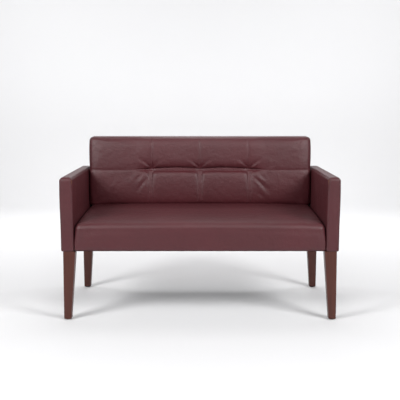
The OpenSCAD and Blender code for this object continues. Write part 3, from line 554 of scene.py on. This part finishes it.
# %% The block of the seat
def shape_seat(low, high):
    """The block before the cloth step: start and place of its points, normals, faces and lift."""
    crest_radius, foot_radius, radius_gain = 0.026, 0.005, 0.021
    dense = [(at - 0.012, at + 0.012, 0.004) for at in pull_lines]
    steps = [
        ticks(low[0], high[0], crest_radius, 0.014, dense),
        ticks(low[1], high[1], crest_radius, 0.011),
        ticks(low[2], high[2], crest_radius, 0.008),
    ]
    rest, faces = block_mesh(low, high, steps)
    radius = foot_radius + radius_gain * step_up(rest[:, 2], low[2] + 0.01, high[2] - 0.02)
    points, normal = round_off(rest, low, high, radius)
    lift = step_up(points[:, 2], low[2] + 0.04, high[2])
    points[:, 2] += lift * (seat_top(points[:, 0], points[:, 1]) - seat_edge_z)
    # the front is fullest in the middle and halfway up
    full_across, full_upwards, foot_in, crest_in = 0.0035, 0.0015, 0.0022, 0.0040
    x = points[:, 0] / high[0]
    height = np.clip((points[:, 2] - low[2]) / (high[2] - low[2]), 0, 1)
    front = np.clip(1 - (points[:, 1] - low[1]) / 0.06, 0, 1)
    bulge = full_across * (1 - x ** 2) + full_upwards * np.sin(height * math.pi)
    points[:, 1] -= front * bulge
    # the block is narrower at its foot, and the ends of its crest draw in
    foot = foot_in * (1 - step_up(height, 0.0, 0.25))
    points[:, 0] *= 1 - foot - crest_in * step_up(height, 0.55, 1.0) * front
    return rest, points, normal, faces, lift


# %% The seat
def build_seat():
    """The seat's cover: the block, blown up as cloth and then finished."""
    low, high = seat_low.copy(), seat_high.copy()
    high[2] = seat_edge_z
    low[1] = arm_front_y + 0.005
    rest, points, normal, faces, lift = shape_seat(low, high)
    seat = make_piece("seat_leather", points, faces, leather)
    lower_edge, under_back = rest[:, 2] < low[2] + 0.012, rest[:, 1] > high[1] - 0.05
    blow_up(seat, np.where(lower_edge | under_back, 1.0, 0.0), cap=0.0025)
    points = points_of(seat)
    # three faint pull lines run back from the crest, and the foam gives a little here and there
    back = (points[:, 1] - low[1]) / (high[1] - low[1])
    fade = step_up(back, 0.0, 0.05) * (1 - step_up(back, 0.2, 0.5)) * (normal[:, 2] > 0.3)
    pull_width, pull_depth, give, pressed = 0.006, 0.0009, 0.0012, 0.010
    for at in pull_lines:
        points[:, 2] -= fade * seam_line(points[:, 0] - at, pull_width, pull_depth)
    points[:, 2] += lift * give * waves(points[:, 0], points[:, 1], 3, 0.45)
    # the back cushion presses the seat down where it stands on it
    points[:, 2] -= lift * pressed * step_up(points[:, 1], 0.166, 0.190)
    # nothing leaves the room of the rigid seat
    points[:, 0] = np.clip(points[:, 0], low[0], high[0])
    points[:, 1] = np.clip(points[:, 1], arm_front_y + 0.0005, high[1])
    points[:, 2] = np.minimum(points[:, 2], seat_top(points[:, 0], points[:, 1]) + 0.0015)
    move_points(seat, points)
    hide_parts("seat_cover", "seat_foam", "seat_front_pad")
    return seat


seat = build_seat()
print("seat has", len(seat.data.vertices), "points")

# %% [markdown]
# ## The back
# The back is the part that takes the most care. Its face is sewn from eight panels: one seam runs
# across it, three run up and down, and where they cross a hidden twine pulls the leather in. The
# pull gathers the leather, so folds run out from each tuft, and the upper pillows hang over the
# cross seam in a crease that arches from tuft to tuft.
#
# A cloth simulation alone puts the folds where it likes. Here the main forms are worked out as
# distances from the seams and tufts, the cloth step then relaxes and swells them, and the fine
# seam lines come last, because a simulation would iron them out.

# %% Where the seams and tufts are
back_low, back_high = (np.array(v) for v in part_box("back_cover"))
back_low[2] += 0.009
tufts = [-0.2575, 0.0, 0.2575]
upper_seams = [-0.252, 0.0, 0.252]
lower_bands = [-0.2605, 0.0, 0.2605]
band_sides = (-0.0085, 0.0085)
tuft_z = 0.6725
crease_z = 0.6700
seam_z = 0.6650


def crease_height(x):
    """How high the crease above the cross seam lies: it arches from tuft to tuft, then is level."""
    phase = np.abs(np.mod(x, tufts[2])) / tufts[2]
    arch = 0.0095 * np.sin(math.pi * phase) ** 0.8
    return crease_z + np.where(np.abs(x) < tufts[2], arch, 0.0)


print(len(tufts), "tufts at a height of", tuft_z, "m, over a cross seam at", seam_z, "m")

# %% Folds that run out from the tufts
# each from x, z to x, z, with its width at both ends and its depth; a negative depth is a ridge
folds = [
    # left tuft, downwards
    (-0.286, 0.616, -0.333, 0.556, 0.0055, 0.0085, 0.0038),
    (-0.282, 0.594, -0.320, 0.538, 0.0055, 0.0085, -0.0008),
    (-0.290, 0.628, -0.341, 0.590, 0.0045, 0.0085, -0.0008),
    (-0.300, 0.645, -0.353, 0.603, 0.0060, 0.0100, 0.0020),
    (-0.315, 0.650, -0.390, 0.610, 0.0060, 0.0120, -0.0012),
    # right tuft, downwards
    (0.284, 0.630, 0.366, 0.554, 0.0050, 0.0130, 0.0044),
    (0.284, 0.614, 0.362, 0.524, 0.0050, 0.0090, -0.0010),
    (0.292, 0.637, 0.345, 0.604, 0.0045, 0.0080, -0.0012),
    (0.312, 0.645, 0.349, 0.619, 0.0045, 0.0080, 0.0032),
    (0.305, 0.551, 0.337, 0.515, 0.0070, 0.0100, 0.0018),
    # upwards from the left tuft: each groove is followed by the ridge beside it
    (-0.265, 0.684, -0.300, 0.720, 0.0045, 0.0075, 0.0036),
    (-0.281, 0.683, -0.315, 0.710, 0.0045, 0.0080, -0.0013),
    (-0.250, 0.684, -0.218, 0.716, 0.0045, 0.0080, 0.0030),
    (-0.238, 0.683, -0.190, 0.706, 0.0045, 0.0090, -0.0013),
    # upwards from the middle tuft
    (-0.010, 0.684, -0.042, 0.718, 0.0045, 0.0075, 0.0042),
    (-0.020, 0.683, -0.055, 0.710, 0.0045, 0.0080, -0.0020),
    (0.010, 0.684, 0.037, 0.716, 0.0045, 0.0075, 0.0040),
    (0.020, 0.684, 0.048, 0.710, 0.0045, 0.0080, -0.0018),
    # upwards from the right tuft
    (0.248, 0.685, 0.212, 0.721, 0.0045, 0.0080, 0.0044),
    (0.238, 0.684, 0.196, 0.716, 0.0045, 0.0085, -0.0022),
    (0.268, 0.684, 0.304, 0.718, 0.0045, 0.0080, 0.0040),
    (0.279, 0.683, 0.314, 0.709, 0.0045, 0.0080, -0.0018),
]


def fold_depth(x, z, x0, z0, x1, z1, start, end, depth):
    """A groove or ridge between two points, which widens and fades."""
    length = math.hypot(x1 - x0, z1 - z0)
    along = ((x - x0) * (x1 - x0) + (z - z0) * (z1 - z0)) / length ** 2
    aside = ((x - x0) * (z1 - z0) - (z - z0) * (x1 - x0)) / length
    width = start + (end - start) * np.clip(along, 0, 1.3)
    fade = step_up(along, -0.25, 0.3) * (1 - step_up(along, 0.4, 1.3))
    return depth * fade * np.exp(-(aside / width) ** 2)


print(len(folds), "grooves and ridges run out from the tufts")


# %% How full the upper pillows and the lower panels are
def upper_fullness(x, above, top):
    """0 at the crease, 1 where a pillow stands free. Its seams hold it in narrow valleys."""
    full = 1 - np.exp(-(above / 0.017) ** 1.3)
    for at in upper_seams:
        width = 0.0055 + 0.011 * (1 - top) ** 2
        held = 0.13 + 0.45 * (1 - top) ** 3
        full = full * (1 - held * np.exp(-(np.abs(x - at) / width) ** 1.3))
    return full


def lower_fullness(x, below, belly):
    """The same for a lower panel. It has round upper corners, and flatter sides near the seat."""
    corner, edge_width, half_panel = 0.024, 0.0105, 0.13
    full = 1 - np.exp(-(below / edge_width) ** 1.15)
    for at in lower_bands:
        side = np.maximum(np.abs(x - at) - 0.0080, 0)
        up_in, side_in = np.maximum(corner - below, 0), np.maximum(corner - side, 0)
        inset = np.maximum(corner - np.hypot(up_in, side_in), 0)
        inset = np.where(inset >= corner - 1e-6, np.minimum(below, side), inset)
        sideways = side_in ** 2 / (up_in ** 2 + side_in ** 2 + 1e-9)
        share = 1 - sideways * (0.92 - 0.88 * (1 - belly) ** 2.2)
        edge = 1 - share * np.exp(-(inset / edge_width) ** 1.15)
        full = np.where(np.abs(x - at) < half_panel, edge, full)
    return full


# %% The sewn form of the face
def back_form(x, z):
    """How far the sewn form, and the roll of the whole block, each lie behind the flat plane."""
    low_z, high_z = back_low[2], back_high[2]
    # the relief is full between the outer tufts and fades out beside them
    relief = 1 - 0.86 * step_up(np.abs(x), tufts[2] + 0.010, tufts[2] + 0.098)
    from_crease = z - crease_height(x)
    above = np.maximum(from_crease, 0)
    below = np.maximum(seam_z - z, 0)
    top = np.clip(above / (high_z - tuft_z), 0, 1)
    belly = np.clip(below / (seam_z - low_z), 0, 1)
    full = np.where(z < seam_z, lower_fullness(x, below, belly), upper_fullness(x, above, top))
    full = np.where((z >= seam_z) & (from_crease <= 0), 0, full)
    # the seams lie deep, the pillows stand proud, and less so beside the outer tufts
    seam_depth, proud, less_proud = 0.0155, 0.0115, 0.0055
    depth = seam_depth * relief * (1 - full) - proud + less_proud * (1 - relief)
    crease_depth, crease_width = 0.0060, 0.0032
    depth += crease_depth * relief * np.exp(-(from_crease / crease_width) ** 2)
    # tufts: a narrow pull in a wider dimple
    pull_depth, pull_width, dimple_depth, dimple_width = 0.0075, 0.010, 0.0072, 0.037
    for at in tufts:
        r = np.hypot(x - at, (z - tuft_z) * np.where(z > tuft_z, 0.66, 1.3))
        pull_in = pull_depth * np.exp(-r / pull_width)
        depth += pull_in + dimple_depth * np.exp(-(r / dimple_width) ** 1.5)
    for fold in folds:
        depth += fold_depth(x, z, *fold)
    # the face tucks under at the seat, and the whole block rolls back at its sides and its top
    tuck, lean_back, side_roll, top_roll = 0.019, 0.0030, 0.018, 0.009
    roll = tuck * belly ** 2.6 + lean_back * top ** 3
    roll += side_roll * np.clip(1 - (back_high[0] - np.abs(x)) / 0.085, 0, 1) ** 3
    roll += top_roll * np.clip(1 - (high_z - z) / 0.065, 0, 1) ** 2.2
    # but no fold or tuft goes deeper than its twine reaches
    reach, softness = 0.0165, 0.002
    limit = np.where((np.abs(x) < 0.45) & (belly < 0.7), reach, 1.0)
    return depth - softness * np.logaddexp(0, (depth + roll - limit) / softness), roll


# %% The block of the back
back_depth, back_radius = 0.100, 0.020
frame_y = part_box("outside_back_cover")[0][1] + 0.001


def back_grid(low, high):
    """Points and faces of the upright block, dense at the seams and open behind."""
    dense_x = [(at - 0.015, at + 0.015, 0.0022) for at in (-0.2565, 0, 0.2565)]
    dense_z = [(0.657, 0.692, 0.0022)]
    steps = [
        ticks(low[0], high[0], back_radius, 0.0065, dense_x),
        ticks(low[1], high[1] + back_radius, back_radius, 0.012),
        ticks(low[2], high[2], back_radius, 0.0065, dense_z),
    ]
    steps[1] = np.append(steps[1][steps[1] < high[1] - 0.004], high[1])
    return block_mesh(low, high, steps, skip={(1, 1)})


def shape_back():
    """The block before the cloth step: where its points start, where they go, normals and faces."""
    low, high = back_low.copy(), back_high.copy()
    low[1], high[1] = 0.0, back_depth
    side_in, sunk = 0.0012, 0.010
    low[0], high[0] = low[0] + side_in, high[0] - side_in
    low[2] -= sunk
    rest, faces = back_grid(low, high)
    # only the front edges are rounded: behind, the leather runs square onto the frame
    points, normal = round_off(rest, low, np.array([high[0], 1.0, high[2]]), back_radius)
    x, z = rest[:, 0], rest[:, 2]
    # the block is upright and evenly deep here: lean its face back and stretch it to the frame
    t = points[:, 1] / high[1]
    up = (points[:, 2] - low[2]) / (high[2] - low[2])
    face_foot_y, lean = 0.1395, 0.040
    face = face_foot_y + lean * up
    points[:, 1] = face + (frame_y - face) * t ** 1.1
    # the sewn form fades round the edges, and the roll takes the edges with it
    sewn, roll = back_form(x, z)
    points[:, 1] += step_up(-normal[:, 1], 0.1, 0.9) * sewn + (1 - t) ** 2 * roll
    # the sides press against the arms, stand clear above them and draw in at the cross seam
    pressed, clear, waist = 0.0042, 0.0015, 0.0030
    points[:, 0] *= 1 + pressed * (1 - step_up(z, 0.650, 0.700))
    side = np.abs(normal[:, 0]) * np.sign(points[:, 0]) * (1 - t)
    swell = clear * step_up(z, 0.69, 0.73) * (1 - step_up(z, 0.78, 0.83))
    points[:, 0] += side * (swell - waist * np.exp(-((z - seam_z) / 0.02) ** 2))
    # the underside sinks into the seat, which drops towards the arms
    points[:, 2] -= (1 - step_up(up, 0.0, 0.5)) * sunk * np.abs(points[:, 0] / high[0]) ** 4
    return rest, points, normal, faces


# %% The cloth step of the back
def pins(rest):
    """What the cloth step holds: the sides, the tufts and, less firmly, the cross seam."""
    held = np.where(rest[:, 1] > 0.02, 1.0, 0.0)
    for at in tufts:
        from_tuft = np.hypot(rest[:, 0] - at, rest[:, 2] - tuft_z)
        held = np.maximum(held, np.exp(-(from_tuft / 0.014) ** 4))
    held = np.maximum(held, 0.6 * np.exp(-((rest[:, 2] - seam_z) / 0.006) ** 2))
    held[held < 0.05] = 0
    return held


back_rest, back_points, back_normal, back_faces = shape_back()
print("the block of the back has", len(back_faces), "faces")
back = make_piece("back_leather", back_points, back_faces, leather)
blow_up(back, pins(back_rest), cap=0.002)


# %% Sewn lines of the back, after the cloth
def sew_back(piece, rest, normal):
    """Sinks the cross seam, the upper seams and the two seams of each lower band."""
    width, seam_depth, band_depth, deepest = 0.0020, 0.0014, 0.0012, 0.0022
    x, z = rest[:, 0], rest[:, 2]
    sunk = seam_line(z - seam_z, width, seam_depth)
    upper = step_up(z, tuft_z, tuft_z + 0.01)
    for at, band in zip(upper_seams, lower_bands):
        sunk += upper * seam_line(x - at, width, seam_depth)
        for offset in band_sides:
            sunk += (1 - upper) * seam_line(x - band - offset, width, band_depth)
    points = points_of(piece)
    points[:, 1] += step_up(-normal[:, 1], 0.5, 0.98) * np.minimum(sunk, deepest)
    move_points(piece, points)


sew_back(back, back_rest, back_normal)
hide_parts("back_cover", "back_foam", "back_top_pad")
print("back has", len(back.data.vertices), "points")

# %% [markdown]
# ## The outside back
# Behind, one flat sheet of leather closes the frame. It is stapled under the rails and its edges
# are folded over a board, so it is nearly flat, with a soft edge and a slight slackness.

# %% The outside back
def round_corners(points, high, radius):
    """Rounds the two upper corners, as the cushion in front has them."""
    corner_x, corner_z = high[0] - radius, high[2] - radius
    dx, dz = np.abs(points[:, 0]) - corner_x, points[:, 2] - corner_z
    far = np.hypot(dx, dz)
    corner = (dx > 0) & (dz > 0) & (far > radius)
    scale = np.where(corner, radius / np.maximum(far, 1e-9), 1)
    points[:, 0] = np.where(corner, np.sign(points[:, 0]) * (corner_x + dx * scale), points[:, 0])
    points[:, 2] = np.where(corner, corner_z + dz * scale, points[:, 2])


def build_outside_back():
    """The sheet behind, with its edges turned over and a seam line near its rim."""
    low, high = (np.array(v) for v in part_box("outside_back_cover"))
    edge, point_gap = 0.0019, 0.012
    steps = [ticks(low[0], high[0], edge, point_gap), ticks(low[1], high[1], edge, 0.002),
             ticks(low[2], high[2], edge, point_gap)]
    rest, faces = block_mesh(low, high, steps, skip={(1, 0)})
    points, normal = round_off(rest, low, high, edge)
    round_corners(points, high, 0.017)
    rear = normal[:, 1] > 0.5
    margin = np.minimum(rest[:, 2] - low[2], high[2] - rest[:, 2])
    margin = np.minimum(high[0] - np.abs(rest[:, 0]), margin)
    uneven = waves(rest[:, 0], rest[:, 2], 12, 0.35)
    fullness, seam_inset, seam_width, seam_depth = 0.0011, 0.012, 0.002, 0.0007
    slack = fullness * step_up(margin, 0.0, 0.06) * (1 + 0.4 * uneven)
    points[:, 1] += rear * (slack - seam_line(margin - seam_inset, seam_width, seam_depth))
    sheet = make_piece("outside_back_leather", points, faces, leather)
    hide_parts("outside_back_cover")
    return sheet


outside_back = build_outside_back()
print("outside back has", len(outside_back.data.vertices), "points")

# %% [markdown]
# ## Thread
# Each upright band under the cross seam is held flat by two rows of stitches. A dashed line in the
# colour would do from far off, but thread stands proud of the leather and catches light. So each
# stitch is a small bead of thread whose two ends dive into the leather. The same beads, larger and
# of wire, serve as the staples under the seat.

# %% Rows of beads: stitches and staples
def lay_beads(name, rows, out, radius, material):
    """Rows are lists of (start, end) points. Each bead is a thin six-sided body between them."""
    sides = 6
    # share of the length, share of the radius, and height above the line in radii
    stations = [(0.0, 0.25, -1.0), (0.15, 1.0, -0.3), (0.5, 1.0, 0.25), (0.85, 1.0, -0.3),
                (1.0, 0.25, -1.0)]
    points, faces = [], []
    out = np.array(out, float)
    for start, end in rows:
        start, end = np.array(start, float), np.array(end, float)
        aside = np.cross(end - start, out)
        aside /= np.linalg.norm(aside)
        first = len(points)
        for share, wide, lift in stations:
            centre = start + (end - start) * share + out * radius * lift
            for k in range(sides):
                a = math.tau * k / sides
                points.append(centre + radius * wide * (aside * math.cos(a) + out * math.sin(a)))
        for ring in range(len(stations) - 1):
            for k in range(sides):
                a, b = first + sides * ring + k, first + sides * ring + (k + 1) % sides
                faces.append((a, b, b + sides, a + sides))
        last = first + sides * (len(stations) - 1)
        faces.append(tuple(first + k for k in range(sides))[::-1])
        faces.append(tuple(last + k for k in range(sides)))
    return make_piece(name, points, faces, material)


# %% Stitches along the lower bands
def sew_bands():
    """Two rows of stitches for each band, laid on the leather where it has come to rest."""
    surface = BVHTree.FromObject(back, bpy.context.evaluated_depsgraph_get())
    pitch, length, thread_radius = 0.0042, 0.0033, 0.0004
    backwards = Vector((0, 1, 0))
    rows = []
    for at in lower_bands:
        for offset in band_sides:
            for z in np.arange(back_low[2] + 0.012, seam_z - 0.004, pitch):
                ends = [surface.ray_cast(Vector((at + offset, 0, h)), backwards)[0]
                        for h in (z, z + length)]
                if all(ends):
                    rows.append(ends)
    stitches = lay_beads("band_stitches", rows, (0, -1, 0), thread_radius, thread)
    print(len(rows), "stitches in the bands")
    return stitches


stitches = sew_bands()

# %% [markdown]
# ## The dust cloth
# A black cloth is stapled under the seat, and a small one under each arm, with its edge folded in.
# It is light and a little slack, so it sags between the rails. It could be one flat plate, but the
# sag and the row of staples are what shows when the sofa is tipped over.

# %% One sheet of cloth
def cloth_sheet(x0, y0, x1, y1, z1):
    """Points and faces of a sheet that is held at its edges, puckers there and sags inside."""
    large = x1 - x0 > 0.3
    step, slack = (0.012, 0.004) if large else (0.005, 0.0006)
    across = np.linspace(x0, x1, round((x1 - x0) / step) + 1)
    along = np.linspace(y0, y1, round((y1 - y0) / step) + 1)
    x, y = np.meshgrid(across, along, indexing="ij")
    margin = np.minimum(np.minimum(x - x0, x1 - x), np.minimum(y - y0, y1 - y))
    pucker = np.cos((x + y) * math.tau / 0.06) * 0.0004
    pucker = pucker * np.exp(-(margin - 0.01) ** 2 / 0.012 ** 2)
    reach = min(0.12, (x1 - x0) / 2)
    sag = slack * step_up(margin, 0.014, reach) * (1 + 0.35 * waves(x, y, 4, 0.4))
    height = z1 - 0.0006 - sag + pucker - 0.0004 * (1 - step_up(margin, 0.009, 0.013))
    points = np.stack([x, y, np.minimum(height, z1 - 0.0002)], -1).reshape(-1, 3)
    index = np.arange(x.size).reshape(x.shape)
    quads = [index[:-1, :-1], index[:-1, 1:], index[1:, 1:], index[1:, :-1]]
    return points, np.stack(quads, -1).reshape(-1, 4)


def staple_rows(x0, y0, x1, y1, z):
    """Where the staples lie: along all four edges, a little inside them."""
    inset, gap, half = 0.006, 0.06, 0.005
    rows = []
    for x in np.arange(x0 + gap / 2, x1 - half, gap):
        rows += [((x - half, y, z), (x + half, y, z)) for y in (y0 + inset, y1 - inset)]
    for y in np.arange(y0 + gap / 2, y1 - half, gap):
        rows += [((x, y - half, z), (x, y + half, z)) for x in (x0 + inset, x1 - inset)]
    return rows


# %% The three dust cloths and their staples
def build_dust_cloth():
    """One sheet for each solid of the rigid dust covers, and the staples of all three."""
    shell = nodes["dust_covers"]
    corners = np.array([shell.matrix_world @ v.co for v in shell.data.vertices])
    arm_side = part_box("arm_cover_right")[0][0]
    areas = {
        "seat_dust_cloth": corners[np.abs(corners[:, 0]) < arm_side],
        "arm_dust_cloth_left": corners[corners[:, 0] < -arm_side],
        "arm_dust_cloth_right": corners[corners[:, 0] > arm_side],
    }
    rows, sheets = [], []
    for name, place in areas.items():
        (x0, y0, _), (x1, y1, z1) = place.min(0), place.max(0)
        cloth = make_piece(name, *cloth_sheet(x0, y0, x1, y1, z1), black_cloth)
        sheets.append(cloth)
        rows += staple_rows(x0, y0, x1, y1, z1 - 0.0013)
    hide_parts("dust_covers")
    wire_radius = 0.0005
    staples = lay_beads("cloth_staples", rows, (0, 0, -1), wire_radius, zinc)
    print(len(sheets), "cloths with", len(rows), "staples")


build_dust_cloth()

# %% [markdown]
# ## The room around the sofa
# The photograph is a plain studio: a pale floor that curves up into a pale wall, and two large
# soft lights in front, left and right, that cross their shadows under the seat. Weaker ones light
# the wall, the crest of the seat and the top of the back.

# %% Floor and wall
def build_studio():
    """A strip of paper that is floor in front and wall behind."""
    half_width, front_y, bend_y, bend, wall_top = 7.0, -7.0, 3.2, 1.2, 6.0
    profile = [(front_y, 0.0)]
    for degrees in range(0, 91, 10):
        t = math.radians(degrees)
        profile.append((bend_y + bend * math.sin(t), bend * (1 - math.cos(t))))
    profile.append((bend_y + bend, wall_top))
    points = [(x, y, z) for y, z in profile for x in (-half_width, half_width)]
    faces = [(2 * i, 2 * i + 1, 2 * i + 3, 2 * i + 2) for i in range(len(profile) - 1)]
    mesh = bpy.data.meshes.new("studio")
    mesh.from_pydata(points, [], faces)
    mesh.polygons.foreach_set("use_smooth", [True] * len(mesh.polygons))
    studio = bpy.data.objects.new("studio", mesh)
    scene.collection.objects.link(studio)
    paper = bpy.data.materials.new("studio_paper")
    paper.use_nodes = True
    shader = paper.node_tree.nodes["Principled BSDF"]
    shader.inputs["Base Color"].default_value = (0.80, 0.80, 0.81, 1)
    shader.inputs["Roughness"].default_value = 0.7
    shader.inputs["Specular IOR Level"].default_value = 0.2
    mesh.materials.append(paper)
    print("floor and wall are", 2 * half_width, "m wide and", wall_top, "m high")


build_studio()


# %% Helpers for lights
middle = (0, -0.1, 0.5)


def soft_light(name, at, aim, width, height, watts):
    """A rectangular light at one place that faces another."""
    data = bpy.data.lights.new(name, "AREA")
    data.shape, data.size, data.size_y, data.energy = "RECTANGLE", width, height, watts
    light = bpy.data.objects.new(name, data)
    light.location = at
    light.rotation_euler = (Vector(aim) - Vector(at)).to_track_quat("-Z", "Y").to_euler()
    scene.collection.objects.link(light)


def around(azimuth, elevation, distance):
    """A place seen from the sofa's middle. Azimuth 0 is in front, and grows to the right."""
    a, e = math.radians(azimuth), math.radians(elevation)
    return (distance * math.cos(e) * math.sin(a), middle[1] - distance * math.cos(e) * math.cos(a),
            middle[2] + distance * math.sin(e))


# %% Lights
for side, sign in (("left", -1), ("right", 1)):
    soft_light(side + "_softbox", around(sign * 50, 29, 3.4), middle, 1.1, 1.1, 78)
    soft_light(side + "_wall_light", (sign * 2.4, 1.2, 2.6), (sign * 1.7, 4.4, 0.7), 2.0, 1.6, 69)
soft_light("low_front_light", around(0, 24, 4.2), middle, 1.6, 1.6, 5)
soft_light("high_front_light", (0, -1.6, 2.2), (0, 0, 0.5), 1.2, 1.2, 14)
soft_light("crest_light", (0, 0.9, 3.2), (0, -0.2, 0.4), 1.2, 1.2, 14)
soft_light("rear_light", (0, 2.8, 2.2), (0, 0.6, 0), 2.4, 2.4, 25)
world = bpy.data.worlds.new("studio_air")
scene.world = world
world.use_nodes = True
world.node_tree.nodes["Background"].inputs["Color"].default_value = (1, 1, 1, 1)
world.node_tree.nodes["Background"].inputs["Strength"].default_value = 0.02
scene.view_settings.view_transform = "Standard"
print("lights:", [light.name for light in bpy.data.lights])
